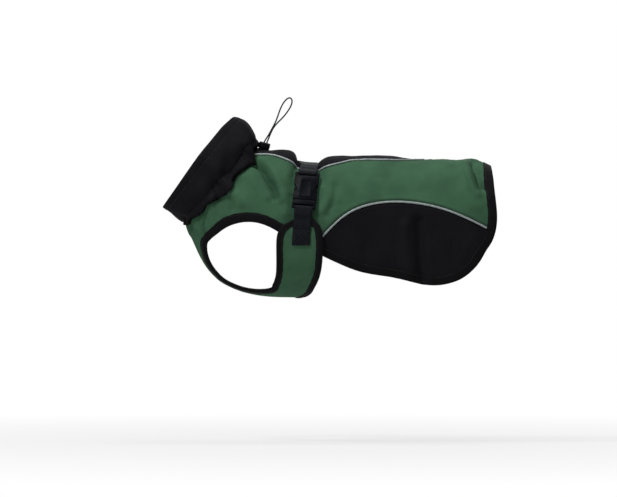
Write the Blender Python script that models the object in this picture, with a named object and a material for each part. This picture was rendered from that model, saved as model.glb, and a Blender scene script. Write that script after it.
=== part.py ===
"""A dog's winter coat as worn: softshell panels, gathered collar, bound edges, girth webbing.

Sizes are in millimetres and become metres when a mesh is made. X runs to the tail, Y to the
wearer's right, Z up. The origin is the inner face of the back, on the spine, under the girth strap.
A place on the cloth is (run, turn): run in mm along the spine from the neck seam, turn in radians
round the body from the spine (0) to the breast line (pi), negative on the left.
"""

import math

import bmesh
import bpy
import numpy as np
from mathutils import Matrix, Vector
from mathutils.geometry import delaunay_2d_cdt

MM = 0.001
CLOTH = 2.0  # wall of the bonded softshell
SEAM = 0.15  # half the gap where two panels are sewn edge to edge
PIPE_R = 1.6  # reflective piping, radius
PIPE_SEAT = PIPE_R + 0.4  # the panels' setback from the piping's middle
TAPE = 0.8  # binding tape
TAPE_GAP = 0.5  # between the tape and the cloth it wraps
HEM_TAPE_W = 11.0
CHEST_TAPE_W = 8.0
WING_LIFT = 5.8  # the wings lie this far over the panels they cover
WEB_W = 25.0
WEB_T = 1.5
GRID = 12.5  # spacing of a panel's inner points
STEP = 12.5  # spacing of the points along an edge
NECK_POINTS = 72
FLAT_R = 80.0  # mm a radian, for the flat plan a panel is filled in
FULL_TOP, FULL_LOW = 0.03, 0.09

# back x, back z, breast x, breast z, half width, share of the depth above the widest line
BODY = (
    (-72.8, 19.6, -166.0, -85.0, 50.0, 0.48),
    (-53.0, 20.3, -156.0, -113.0, 57.0, 0.48),
    (-30.0, 21.9, -130.0, -156.0, 63.0, 0.48),
    (-12.0, 20.4, -88.0, -179.0, 68.0, 0.48),
    (4.0, 16.0, -42.0, -186.0, 71.0, 0.48),
    (20.0, 14.8, -2.0, -186.0, 72.0, 0.48),
    (40.0, 13.3, 38.0, -194.0, 72.0, 0.45),
    (60.0, 12.9, 62.0, -240.0, 71.5, 0.355),
    (84.0, 13.2, 84.0, -290.0, 71.0, 0.29),
    (113.0, 13.6, 113.0, -303.0, 71.5, 0.275),
    (130.0, 11.6, 130.0, -304.0, 72.2, 0.272),
    (146.0, 8.8, 146.0, -305.0, 73.0, 0.27),
    (165.0, 7.0, 165.0, -305.0, 74.0, 0.267),
    (188.0, 8.6, 188.0, -305.0, 75.0, 0.265),
    (218.0, 7.6, 218.0, -305.0, 76.5, 0.262),
    (231.0, 9.4, 231.0, -305.0, 77.0, 0.262),
    (240.0, 7.8, 240.0, -305.0, 77.0, 0.26),
    (249.0, 3.4, 249.0, -303.0, 76.5, 0.25),
    (259.0, -1.8, 259.0, -300.0, 76.0, 0.245),
    (275.0, -9.0, 275.0, -295.0, 75.0, 0.23),
)
# The same for the collar, from above the seam to the mouth, and how far the bow of the seam goes on
COLLAR = (
    (-70.2, 33.0, -171.5, -81.8, 57.0, 0.48, 0.9),
    (-75.5, 50.0, -180.0, -76.0, 60.0, 0.48, 0.45),
    (-86.0, 61.0, -190.0, -69.0, 59.0, 0.48, 0.2),
    (-100.8, 66.5, -201.6, -60.9, 56.0, 0.48, -0.6),
)
# How far the neck seam bows to the tail: turn in degrees, mm
NECK_BOW = ((0, 0.0), (25, 4.0), (50, 6.5), (90, 7.0), (115, 3.5), (140, 0.8), (180, 0.0))
GATHERS = 16
GATHER_HIGH = 2.1
GATHER_FADE = 40.0
# Waist the girth strap pulls: its depth, and how far each side of the strap's middle the cloth lies flat
CINCH = 14.0
CINCH_HALF = 12.9
# Spine panel: x on the spine, half width along the cloth
SPINE = ((-90, 21), (-72.7, 23.6), (-55.8, 27.3), (-43.4, 30.5), (-34.8, 34.6), (-26.8, 39), (-20, 42.2), (-10, 44),
         (4, 44), (21.8, 44.2), (31.3, 44), (38.2, 42.6), (44.9, 40.1), (51.9, 36.8), (58.9, 33.6), (65.9, 31.4),
         (79.9, 30), (93.9, 31), (107.9, 32.8), (120, 31.6), (130, 28.4), (140, 22.4), (150, 14.6), (160, 6.8),
         (170, -0.8), (178, -5.6))
# Side-view rows of x and z, from the front to the tail
FLANK = ((-12, -131), (6, -117), (20, -104), (54, -71.5), (92, -55.6), (130, -52.4),
         (178, -58.8), (221, -73.8), (258, -92), (276, -101))
LOWER_EDGE = ((-141, -114), (-137, -104.6), (-128, -96.7), (-114, -86.7), (-98, -80.5), (-81.8, -78.5),
              (-65.8, -80.5), (-49.6, -86.7), (-37.5, -93.7), (-22, -103), (-10, -109.5), (6, -118),
              (23.7, -127), (54, -141), (77, -149), (97, -153), (125, -157.5), (152, -164),
              (174, -167.5), (189, -167), (212, -160.6), (229, -149), (242, -134), (250.6, -119),
              (257, -110), (263.2, -97), (265.4, -80), (265.4, -59), (263.6, -35), (261.8, -16))
TAIL_TOP_X = 260.5
CHEST_SEAM = ((-131, -45), (-137, -60), (-142, -76), (-143.5, -90), (-139.5, -101), (-134.5, -109))
# The chest panel's edge: the throat side of the leg opening, then rows of breast-line x and y
CHEST_FRONT = ((-128, -96.7), (-137, -104.6), (-141.5, -111))
CHEST_STRIP = ((-147.5, 36.5), (-138, 31.5), (-122, 28), (-102, 27), (-84, 29), (-70, 33))
WING = ((-47.6, -174), (-41.6, -158), (-39.6, -139.9), (-39.6, -109.8), (-37.5, -96), (-31, -86),
        (-16, -79), (0, -77), (11, -79.5), (18.8, -87.5), (21.7, -99), (21.9, -127.8), (19.6, -148),
        (14.6, -165), (7.5, -179))
BELLY_REAR = ((0, 20), (-5, 9), (-7, 0))
STRAP_LINE = ((3.8, -6), (-0.6, -35), (-4.5, -80), (-6.5, -112))
STRAP_END_Z = -112.7
# Folds. side (-1 left, 1 right, 0 both), height, half width, then side-view x and z
FOLDS = (
    (-1, -3.0, 4.5, ((-66, 1), (-53.2, -11.9), (-46.2, -31.5), (-42, -46.9))),
    (-1, 1.6, 8.0, ((-44, -8), (-34, -30), (-31, -48))),
    (-1, -2.0, 4.0, ((-112, -40), (-103, -52), (-98, -66))),
    (-1, 1.6, 9.0, ((-27, -50), (-29, -68))),
    (-1, 1.6, 9.0, ((22, -42), (21, -60))),
    (-1, -2.2, 5.0, ((225.4, 0), (233.8, -17.5), (246.4, -35.7))),
    (-1, -2.4, 9.0, ((151, -84), (152, -120), (156, -158))),
    (1, -2.6, 4.8, ((-62, -3), (-50, -20), (-45, -42))),
    (1, 1.5, 9.0, ((-40, -12), (-30, -34))),
    (1, -1.8, 4.5, ((-118, -46), (-107, -60))),
    (1, 1.5, 9.0, ((-28, -46), (-29, -64))),
    (1, 1.4, 9.0, ((23, -46), (21, -62))),
    (1, -2.0, 5.5, ((220, 1), (229, -15), (239, -38))),
    (1, -2.6, 10.0, ((132, -80), (134, -118), (129, -150))),
    (0, 2.0, 6.0, ((-167, -86), (-163, -95))),
)
COLOURS = {
    "green_softshell": (0.042, 0.106, 0.062),
    "black_softshell": (0.010, 0.009, 0.011),
    "black_tape": (0.006, 0.006, 0.007),
    "black_webbing": (0.008, 0.010, 0.012),
    "silver_reflective": (0.30, 0.33, 0.33),
    "black_plastic": (0.008, 0.009, 0.011),
    "grey_elastic": (0.035, 0.038, 0.040),
}


def spline(knots, values):
    """The natural cubic through the rows of values, as a function of an array of places."""
    k, v = np.asarray(knots, float), np.asarray(values, float)
    n, h = len(k), np.diff(np.asarray(knots, float))
    system, right = np.zeros((n, n)), np.zeros(v.shape)
    system[0, 0] = system[-1, -1] = 1.0
    for i in range(1, n - 1):
        system[i, i - 1 : i + 2] = h[i - 1], 2 * (h[i - 1] + h[i]), h[i]
        right[i] = 6 * ((v[i + 1] - v[i]) / h[i] - (v[i] - v[i - 1]) / h[i - 1])
    bend = np.linalg.solve(system, right.reshape(n, -1)).reshape(v.shape)

    def at(x, column=None):
        x = np.atleast_1d(np.asarray(x, float))
        i = np.clip(np.searchsorted(k, x, side="right") - 1, 0, n - 2)
        pick = (lambda a, r: a[r]) if column is None else (lambda a, r: a[r, column])
        shape = (-1,) + (1,) * (pick(v, i).ndim - 1)
        hi = h[i].reshape(shape)
        p = ((k[i + 1] - x) / h[i]).reshape(shape)
        q = 1 - p
        curve = (p**3 - p) * pick(bend, i) + (q**3 - q) * pick(bend, i + 1)
        return p * pick(v, i) + q * pick(v, i + 1) + curve * hi**2 / 6

    return at


def smoothstep(x):
    x = np.clip(x, 0, 1)
    return x * x * (3 - 2 * x)


body_table = np.array(BODY)
body_run = np.concatenate([[0], np.cumsum(np.hypot(*np.diff(body_table[:, :2], axis=0).T))])
body_at = spline(body_run, body_table)
RUN_MAX = float(body_run[-1])
bow_at = spline(np.radians([row[0] for row in NECK_BOW]), [[row[1]] for row in NECK_BOW])
TURNS = np.linspace(0, math.pi, 361)
run_grid = np.arange(-24, RUN_MAX + 6, 1.0)


def ring_depth(turn, mid):
    """Share of the section's depth at this turn, 0 at the back and 1 at the breast line."""
    c = np.cos(turn)
    full = 1 + np.where(c > 0, FULL_TOP, FULL_LOW) * np.sin(2 * turn) ** 2
    return np.where(c > 0, mid * (1 - c * full), mid - (1 - mid) * c * full)


def ring_point(rows, turn):
    xd, zd, xv, zv, w, mid = rows[:, :6].T
    depth = ring_depth(turn, mid)
    full = 1 + np.where(np.cos(turn) > 0, FULL_TOP, FULL_LOW) * np.sin(2 * turn) ** 2
    y = w * np.sin(turn) * full
    return np.column_stack([xd + (xv - xd) * depth, y, zd + (zv - zd) * depth])


def base(run, turn):
    return ring_point(body_at(run), np.asarray(turn, float))


def unit(v):
    return v / np.linalg.norm(v, axis=-1, keepdims=True)


def slopes(surface, run, turn):
    along = (surface(run + 0.4, turn) - surface(run - 0.4, turn)) / 0.8
    across = (surface(run, turn + 0.006) - surface(run, turn - 0.006)) / 0.012
    return along, across


def normal(surface, run, turn):
    along, across = slopes(surface, run, turn)
    return unit(np.cross(along, across))


def wrapped(turn):
    return (np.asarray(turn, float) + math.pi) % (2 * math.pi) - math.pi


def neck_run(turn):
    return bow_at(np.abs(wrapped(turn)))[:, 0]


def gather(turn):
    """Uneven pleats round the neck seam."""
    t = wrapped(turn)
    phase = GATHERS * t + 1.1 * np.sin(2 * t + 0.4) + 0.8 * np.sin(5 * t + 1.9)
    high = 1 + 0.3 * np.sin(3 * t + 0.7) + 0.2 * np.sin(7 * t)
    nape = 1 - 0.8 * np.exp(-((t / 0.35) ** 2))
    return GATHER_HIGH * high * nape * np.cos(phase)


def near_line(x, z, line):
    """Distance to a side-view polyline and how far along it, from 0 to 1."""
    best, where = np.full(len(x), 1e9), np.zeros(len(x))
    n = len(line) - 1
    for i, (a, b) in enumerate(zip(line[:-1], line[1:])):
        d = np.array(b) - np.array(a)
        t = np.clip(((x - a[0]) * d[0] + (z - a[1]) * d[1]) / (d @ d), 0, 1)
        away = np.hypot(x - a[0] - t * d[0], z - a[1] - t * d[1])
        near = away < best
        best, where = np.where(near, away, best), np.where(near, (i + t) / n, where)
    return best, where


def relief(run, turn):
    """Height of the folds, gathers and girth waist over the plain form."""
    turn = wrapped(turn)
    away = (run - strap_run(turn)) * strap_scale(turn)
    wider = 5.5 * smoothstep((np.abs(turn) - 0.45) / 0.3)
    off = np.maximum(np.abs(away) - CINCH_HALF - wider, 0)
    waist = np.where(away < 0, np.exp(-off / 5.7), np.exp(-off / 11 - (off / 22) ** 2))
    out = -CINCH * waist * np.clip(1 - (turn / 1.75) ** 2, 0, 1)
    below = np.clip((run - neck_run(turn)) / GATHER_FADE, 0, 1)
    out = out + gather(turn) * (1 - smoothstep(below)) ** 1.4
    place = base(run, turn)
    for side, high, half, line in FOLDS:
        away, _ = near_line(place[:, 0], place[:, 2], line)
        here = np.ones(len(turn)) if side == 0 else smoothstep(turn * side / 0.2)
        out = out + high * np.exp(-((away / half) ** 2)) * here
    return out


def shaped(run, turn):
    return base(run, turn) + normal(base, run, turn) * relief(run, turn)[:, None]


def skin(run, turn, high=0.0):
    run, turn = np.broadcast_arrays(np.asarray(run, float), np.asarray(turn, float))
    run, turn = run.ravel(), turn.ravel()
    high = np.broadcast_to(high, run.shape)
    return shaped(run, turn) + normal(shaped, run, turn) * high[:, None]


def on_side(points):
    """(run, turn) on the right side for side-view rows of x and z."""
    rows, found = body_at(run_grid), []
    for x, z in points:
        cross = (rows[:, 2] - rows[:, 0]) * (z - rows[:, 1]) - (rows[:, 3] - rows[:, 1]) * (x - rows[:, 0])
        i = np.nonzero(cross[:-1] * cross[1:] <= 0)[0]
        i = i[0] if len(i) else len(run_grid) - 2
        run = run_grid[i] + cross[i] / (cross[i] - cross[i + 1])
        xd, zd, xv, zv, _, mid = body_at(run)[0]
        share = ((x - xd) * (xv - xd) + (z - zd) * (zv - zd)) / ((xv - xd) ** 2 + (zv - zd) ** 2)
        found.append((run, np.interp(share, ring_depth(TURNS, mid), TURNS)))
    return np.array(found)


def on_breast(points):
    """(run, turn) for rows of breast-line x and y."""
    rows, found = body_at(run_grid), []
    for x, y in points:
        run = np.interp(x, rows[:120, 2], run_grid[:120])
        low = np.linspace(math.pi, math.pi - 1.3, 200)
        out = base(np.full(200, run), low)[:, 1]
        found.append((run, np.interp(y, out, low)))
    return np.array(found)


def on_back(points):
    """(run, turn) for rows of x on the spine and width along the cloth."""
    rows, found = body_at(run_grid), []
    for x, wide in points:
        run = np.interp(x, rows[:, 0], run_grid)
        line = base(np.full(200, run), np.linspace(0, 1.4, 200))
        arc = np.concatenate([[0], np.cumsum(np.linalg.norm(np.diff(line, axis=0), axis=1))])
        found.append((run, math.copysign(np.interp(abs(wide), arc, np.linspace(0, 1.4, 200)), wide)))
    return np.array(found)


strap_points = on_side(STRAP_LINE)
strap_points[0] = (np.interp(STRAP_LINE[0][0], body_at(run_grid)[:, 0], run_grid), 0.0)
strap_spline = spline(strap_points[:, 1], strap_points[:, :1])


def strap_run(turn):
    return strap_spline(np.clip(np.abs(wrapped(turn)), 0, strap_points[-1, 1]))[:, 0]


scale_turns = np.linspace(0, 2.1, 22)
scale_rows = np.linalg.norm(slopes(base, strap_run(scale_turns), scale_turns)[0], axis=1)


def strap_scale(turn):
    """Millimetres of cloth for a millimetre of run, beside the strap."""
    return np.interp(np.abs(wrapped(turn)), scale_turns, scale_rows)


def dense(rows, count):
    """More rows along the smooth line through these."""
    rows = np.array(rows, float)
    place = np.concatenate([[0], np.cumsum(np.hypot(*np.diff(rows, axis=0).T) ** 0.7)])
    return spline(place, rows)(np.linspace(0, place[-1], count))


def curve_of(points, count=400):
    """A smooth line of (run, turn) through the rows."""
    flat = points * (1, FLAT_R)
    steps = np.hypot(*np.diff(flat, axis=0).T) ** 0.75
    place = np.concatenate([[0], np.cumsum(steps)])
    return spline(place, points)(np.linspace(0, place[-1], count))


def stations(curve, step=STEP, turn_step=0.42):
    """Points along a line of (run, turn), closer together where it bends."""
    place = base(curve[:, 0], curve[:, 1])
    ways = np.diff(place, axis=0)
    long = np.linalg.norm(ways, axis=1)
    dirs = ways / long[:, None]
    bend = np.arccos(np.clip((dirs[1:] * dirs[:-1]).sum(1), -1, 1))
    bend = np.concatenate([[0], bend])
    score = np.concatenate([[0], np.cumsum(long / step + bend / turn_step)])
    wanted = np.linspace(0, score[-1], int(math.ceil(score[-1])) + 1)
    return np.column_stack([np.interp(wanted, score, curve[:, c]) for c in (0, 1)])


def inset(curve, by):
    """The line moved by this many mm over the cloth, to its left as seen from outside."""
    way = np.gradient(curve, axis=0)
    along, across = slopes(base, curve[:, 0], curve[:, 1])
    out = normal(base, curve[:, 0], curve[:, 1])
    went = unit(along * way[:, :1] + across * way[:, 1:])
    aside = np.cross(out, went) * np.reshape(by, (-1, 1))
    aa, ab, bb = (along * along).sum(1), (along * across).sum(1), (across * across).sum(1)
    ra, rb = (aside * along).sum(1), (aside * across).sum(1)
    det = aa * bb - ab * ab
    return curve + np.column_stack([(ra * bb - rb * ab) / det, (rb * aa - ra * ab) / det])


def crossing(a, b):
    """Where line a last meets line b: (index on a, index on b, point)."""
    pa, da = a[:-1, None], np.diff(a, axis=0)[:, None]
    pb, db = b[None, :-1], np.diff(b, axis=0)[None]
    det = da[..., 0] * db[..., 1] - da[..., 1] * db[..., 0]
    det = np.where(np.abs(det) < 1e-12, 1e-12, det)
    gap = pb - pa
    t = (gap[..., 0] * db[..., 1] - gap[..., 1] * db[..., 0]) / det
    u = (gap[..., 0] * da[..., 1] - gap[..., 1] * da[..., 0]) / det
    hit = np.argwhere((t >= -1e-6) & (t <= 1 + 1e-6) & (u >= -1e-6) & (u <= 1 + 1e-6))
    if not len(hit):
        raise ValueError("two borders that should meet do not")
    i, j = hit[-1]
    return i + t[i, j], j + u[i, j], a[i] + t[i, j] * (a[i + 1] - a[i])


def outline(lines):
    """The closed outline where each line is cut by the one before and the one after it."""
    cuts = [crossing(a, b) for a, b in zip(lines, lines[1:] + lines[:1])]
    points = []
    for k, line in enumerate(lines):
        start, end = cuts[k - 1][1], cuts[k][0]
        if k == 0:
            start = cuts[-1][1]
        first, last = cuts[k - 1][2], cuts[k][2]
        points.append(first)
        for i in range(len(line)):
            far = min(flat_gap(line[i], first), flat_gap(line[i], last))
            if start < i < end and far > 1.5:
                points.append(line[i])
    return np.array(points)


def flat_gap(a, b):
    return math.hypot(a[0] - b[0], (a[1] - b[1]) * FLAT_R)


def inside(points, loop):
    x, y = points[:, :1], points[:, 1:]
    ax, ay = loop[:, 0], loop[:, 1]
    bx, by = np.roll(ax, -1), np.roll(ay, -1)
    spans = (ay > y) != (by > y)
    cut = ax + (y - ay) * (bx - ax) / np.where(by == ay, 1e-12, by - ay)
    return (spans & (x < cut)).sum(1) % 2 == 1


def clear_of(points, loop, least):
    a, d = loop, np.roll(loop, -1, axis=0) - loop
    rel = points[:, None] - a[None]
    t = np.clip((rel * d).sum(-1) / np.maximum((d * d).sum(-1), 1e-9), 0, 1)
    away = np.linalg.norm(rel - t[..., None] * d, axis=-1)
    return away.min(axis=1) > least


def thinned(groups, loop, near_edge):
    """Inner points: each group of (points, least gap) keeps clear of the ones before it."""
    kept = np.zeros((0, 2))
    for points, least in groups:
        flat = np.asarray(points, float) * (1, FLAT_R)
        flat = flat[inside(flat, loop)]
        if len(flat):
            flat = flat[clear_of(flat, loop, min(near_edge, least))]
        for point in flat:
            if not len(kept) or np.linalg.norm(kept - point, axis=1).min() > least:
                kept = np.vstack([kept, point])
    return kept


def grid_points(low_turn, high_turn, step=GRID):
    """Even rows over the cloth, each shifted by half a step from the last."""
    points = []
    for k, run in enumerate(np.arange(2.0, RUN_MAX, step)):
        turns = np.linspace(low_turn, high_turn, 160)
        line = base(np.full(160, run), turns)
        arc = np.concatenate([[0], np.cumsum(np.linalg.norm(np.diff(line, axis=0), axis=1))])
        wanted = np.arange(arc[-1] / 2 % step + (k % 2) * step / 2, arc[-1], step)
        points += [(run, t) for t in np.interp(wanted, arc, turns)]
    return np.array(points)


def fold_points(side):
    points = []
    for where, high, half, line in FOLDS:
        if where not in (0, side):
            continue
        path = curve_of(on_side(line), 60)
        long = np.linalg.norm(np.diff(base(path[:, 0], path[:, 1]), axis=0), axis=1).sum()
        path = path[np.linspace(0, 59, max(3, int(long / 9))).astype(int)]
        for by in (0, -1.25 * half, 1.25 * half):
            points.append(inset(path, by))
    return np.concatenate(points) * (1, side)


def neck_points(side, every, more):
    turns = np.linspace(0, 2 * math.pi, NECK_POINTS + 1)[:-1:every]
    turns = turns if side == 0 else side * np.abs(wrapped(turns))
    return np.column_stack([neck_run(turns) + more, turns])


def material(name):
    found = bpy.data.materials.get(name)
    if not found:
        found = bpy.data.materials.new(name)
        found.use_nodes = True
        found.diffuse_color = (*COLOURS[name], 1)
        found.node_tree.nodes["Principled BSDF"].inputs["Base Color"].default_value = (*COLOURS[name], 1)
    return found


def add_object(name, points_mm, faces, stuff):
    mesh = bpy.data.meshes.new(name)
    mesh.from_pydata([tuple(p) for p in np.asarray(points_mm, float) * MM], [], [tuple(f) for f in faces])
    shape = bmesh.new()
    shape.from_mesh(mesh)
    bmesh.ops.recalc_face_normals(shape, faces=shape.faces)
    if shape.calc_volume(signed=True) < 0:
        bmesh.ops.reverse_faces(shape, faces=shape.faces)
    shape.to_mesh(mesh)
    shape.free()
    mesh.materials.append(material(stuff))
    thing = bpy.data.objects.new(name, mesh)
    coat.objects.link(thing)
    return thing


def walled(name, outer, inner, triangles, stuff):
    """A cloth solid from two layers with the same triangles, closed round its edges."""
    n = len(outer)
    edges = {}
    for a, b, c in triangles:
        for e in ((a, b), (b, c), (c, a)):
            edges[e] = True
    rim = [e for e in edges if (e[1], e[0]) not in edges]
    faces = [tuple(t) for t in triangles] + [(c + n, b + n, a + n) for a, b, c in triangles]
    faces += [(b, a, a + n) for a, b in rim] + [(b, a + n, b + n) for a, b in rim]
    return add_object(name, np.vstack([outer, inner]), faces, stuff)


def panel(name, lines, groups, stuff, lift=None, near_edge=5.0):
    loop = outline(lines) * (1, FLAT_R)
    extra = thinned(groups, loop, near_edge)
    n = len(loop)
    points = [Vector(p) for p in np.vstack([loop, extra])]
    verts, _, faces, *_ = delaunay_2d_cdt(points, [], [list(range(n))], 1, 1e-6)
    flat = np.array([tuple(v) for v in verts])
    run, turn = flat[:, 0], flat[:, 1] / FLAT_R
    up = 0.0 if lift is None else lift(run, turn)
    return walled(name, skin(run, turn, up), skin(run, turn, up - CLOTH), faces, stuff)


def wing_lift(run, turn):
    """Height of the chest panel over the body: sewn at the breast, over the panels at the wings."""
    z = base(run, turn)[:, 2]
    return WING_LIFT * smoothstep((z + 172) / 32) * smoothstep((run - 42) / 14)


def strip(name, rows, stuff):
    """A solid swept through rows of section points, with flat ends."""
    count, size, _ = rows.shape
    faces = []
    for i in range(count - 1):
        for j in range(size):
            a, b = i * size + j, i * size + (j + 1) % size
            faces += [(a, b, a + size), (b, b + size, a + size)]
    faces += [tuple(range(size))[::-1], tuple((count - 1) * size + j for j in range(size))]
    return add_object(name, rows.reshape(-1, 3), faces, stuff)


def binding(name, line, wide, stuff, lift=None):
    """Tape folded over an edge: line has the cloth on its left."""
    top, low = TAPE_GAP + TAPE, -CLOTH - TAPE_GAP - TAPE
    section = (
        (wide, top), (-TAPE_GAP - TAPE, top), (-TAPE_GAP - TAPE, low), (wide, low),
        (wide, low + TAPE), (-TAPE_GAP, low + TAPE), (-TAPE_GAP, TAPE_GAP), (wide, TAPE_GAP),
    )
    rows = []
    for by, high in section:
        moved = inset(line, by)
        up = 0.0 if lift is None else lift(moved[:, 0], moved[:, 1])
        rows.append(skin(moved[:, 0], moved[:, 1], up + high))
    return strip(name, np.stack(rows, axis=1), stuff)


def piping(name, line, side):
    place = skin(line[:, 0], line[:, 1] * side)
    out = normal(shaped, line[:, 0], line[:, 1] * side)
    way = unit(np.gradient(place, axis=0))
    aside = unit(np.cross(way, out))
    out = np.cross(aside, way)
    rows = []
    for k in range(6):
        a = math.pi / 3 * k + math.pi / 6
        rows.append(place + PIPE_R * (math.cos(a) * aside + math.sin(a) * out))
    return strip(name, np.stack(rows, axis=1), "silver_reflective")


def between(line, start, end):
    """The part of a line from one place on it to another, both as whole and part steps."""
    inner, steps = line[int(start) + 1 : int(math.ceil(end))], np.arange(len(line))
    ends = [np.array([np.interp(at, steps, line[:, c]) for c in (0, 1)]) for at in (start, end)]
    if flat_gap(inner[0], ends[0]) < 2:
        inner = inner[1:]
    if flat_gap(inner[-1], ends[1]) < 2:
        inner = inner[:-1]
    return np.vstack([ends[0], inner, ends[1]])


def mirrored(line):
    """The line's twin on the other side, run the other way so that its left stays its left."""
    return (line * (1, -1))[::-1]


def round_breast(line):
    return np.column_stack([line[:, 0], 2 * math.pi - line[:, 1]])[::-1]


for old in list(bpy.data.objects):
    bpy.data.objects.remove(old, do_unlink=True)
coat = bpy.data.collections.new("dog_winter_coat")
cutters = bpy.data.collections.new("cutters")
cutters.hide_render = True
bpy.context.scene.collection.children.link(coat)
bpy.context.scene.collection.children.link(cutters)

# Borders on the right side, each a line of (run, turn)
spine_line = stations(curve_of(on_back(SPINE)))
flank_line = stations(on_side(dense(FLANK, 300)))
tail_top = (float(np.interp(TAIL_TOP_X, body_at(run_grid)[:, 0], run_grid)), 0.0)
lower_rows = np.vstack([on_side(dense(LOWER_EDGE, 120)), [tail_top]])
lower_rows = np.vstack([lower_rows, mirrored(lower_rows)[1:9]])
lower_curve = curve_of(lower_rows, 1200)
past_spine = int(np.argmax(lower_curve[:, 1] < 0))
lower_line = stations(lower_curve[: past_spine + 1])
lower_line[-1, 1] = 0.0
past_tail = np.vstack([lower_line, (lower_line * (1, -1))[-2:-5:-1]])
chest_seam = stations(on_side(dense(CHEST_SEAM, 60)), 8)
neck_turns = 2 * math.pi / NECK_POINTS * np.arange(-14, 62)
neck_edge = np.column_stack([neck_run(neck_turns) + SEAM, neck_turns])[::-1]
chest_rows = [on_side(CHEST_FRONT), on_breast(CHEST_STRIP), on_side(dense(WING, 60)), on_breast(BELLY_REAR)]
chest_rows = np.vstack(chest_rows)
chest_rows = np.vstack([chest_rows, round_breast(chest_rows)[1:3]])
chest_curve = curve_of(chest_rows, 1200)
past_breast = int(np.nonzero(chest_curve[:, 1] > math.pi)[0][0])
chest_line = stations(chest_curve[: past_breast + 1], 12.0)
chest_line[-1, 1] = math.pi
chest_edge = np.vstack([chest_line, round_breast(chest_line)[1:]])
centre_line = np.array([(tail_top[0] - back, 0.0) for back in (110, 80, 60, 45, 33, 22, 13, 6, 0, -9)])

# Where the girth strap lies, for the panels under it
strap_turns = np.linspace(0, 2.02, 16)
strap_middle = np.column_stack([strap_run(strap_turns), strap_turns])
beside = np.column_stack([1 / strap_scale(strap_turns), np.zeros(16)])
under_strap = np.concatenate([strap_middle + by * beside for by in (-CINCH_HALF, 0, CINCH_HALF)])
waist = np.concatenate([(strap_middle + by * beside)[:11] for by in (-16.2, -20.5, -27, 17.5, 23, 31, 41)])


def inner_groups(side, low_turn, high_turn, edges=()):
    """Rows of inner points for a panel, the ones that matter most first."""
    groups = [(inset(line, by), 2.5) for line, by in edges]
    groups.append((under_strap * (1, side), 5.0))
    groups.append((neck_points(side, 1, 6.5), 2.6))
    groups.append((neck_points(side, 2, 15.0), 4.0))
    groups.append((fold_points(side), 5.0))
    groups.append((waist * (1, side), 3.2))
    groups.append((neck_points(side, 2, 26.0), 7.0))
    groups.append((grid_points(low_turn, high_turn) * (1, side), 0.72 * GRID))
    return groups


# Panels
left_border = inset(spine_line, -PIPE_SEAT) * (1, -1)
right_border = inset(spine_line, -PIPE_SEAT)[::-1]
both = inner_groups(1, 0.0, 1.2)
both += [(points * (1, -1), least) for points, least in inner_groups(-1, 0.0, 1.2)]
panel("spine_panel", [left_border, right_border, neck_edge[neck_edge[:, 1] < 1.1]], both, "black_softshell")
to_tail = int(np.argmax(lower_line[:, 0] > 200))
neck_cut = crossing(spine_line, neck_edge + (3.2, 0))[0]
tip_cut = crossing(spine_line, centre_line + (0, 2.1 / 70))[0]
spine_pipe = between(spine_line, neck_cut, tip_cut)
front_cut = crossing(flank_line[:8], inset(lower_line, -HEM_TAPE_W - 1.2))[0]
tail_cut = crossing(flank_line, inset(lower_line, -HEM_TAPE_W - 1.2))[0]
flank_pipe = between(flank_line, front_cut, tail_cut)
for side, word in ((1, "right"), (-1, "left")):
    around = [
        inset(spine_line, PIPE_SEAT),
        centre_line + (0, SEAM / 60),
        past_tail[to_tail:][::-1],
        inset(flank_line[::-1], PIPE_SEAT),
        lower_line[:to_tail][::-1],
        inset(chest_seam[::-1], SEAM),
        neck_edge,
    ]
    flank = [inset(flank_line, PIPE_SEAT), lower_line[::-1]]
    taped = lower_line[::-1]
    if side < 0:
        around = [mirrored(line) for line in around[::-1]]
        flank = [mirrored(line) for line in flank[::-1]]
        taped = mirrored(taped)
    groups = inner_groups(side, 0.0, 2.4)
    groups.insert(0, (inset(taped, HEM_TAPE_W), 2.5))
    panel(f"side_panel_{word}", around, groups, "green_softshell")
    panel(f"flank_panel_{word}", flank, groups, "black_softshell")
    piping(f"spine_piping_{word}", spine_pipe, side)
    piping(f"flank_piping_{word}", flank_pipe, side)

groups = [(inset(chest_edge, CHEST_TAPE_W), 2.5)]
for points, least in inner_groups(1, 1.5, math.pi):
    groups += [(points, least), (points * (1, -1) + (0, 2 * math.pi), least)]
chest = [
    inset(chest_seam, SEAM),
    chest_edge,
    inset(round_breast(chest_seam), SEAM),
    neck_edge[neck_edge[:, 1] > 1.5],
]
panel("chest_panel", chest, groups, "green_softshell", wing_lift)

# Bindings: one round the leg openings' tops and the hem, one round the chest panel
seam_end = crossing(inset(chest_seam, -0.25), lower_line)[1]
hem = between(lower_line, seam_end, len(lower_line) - 1.001)
hem = np.vstack([hem[:-1], [lower_line[-1]], (hem[:-1] * (1, -1))[::-1]])[::-1]
binding("hem_binding", hem, HEM_TAPE_W, "black_tape")
seam_end = crossing(inset(chest_seam, 0.25), chest_edge[:30])[1]
chest = between(chest_line, seam_end, len(chest_line) - 1.001)
chest = np.vstack([chest[:-1], [chest_line[-1]], round_breast(chest[:-1])])
binding("chest_binding", chest, CHEST_TAPE_W, "black_tape", wing_lift)


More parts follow.
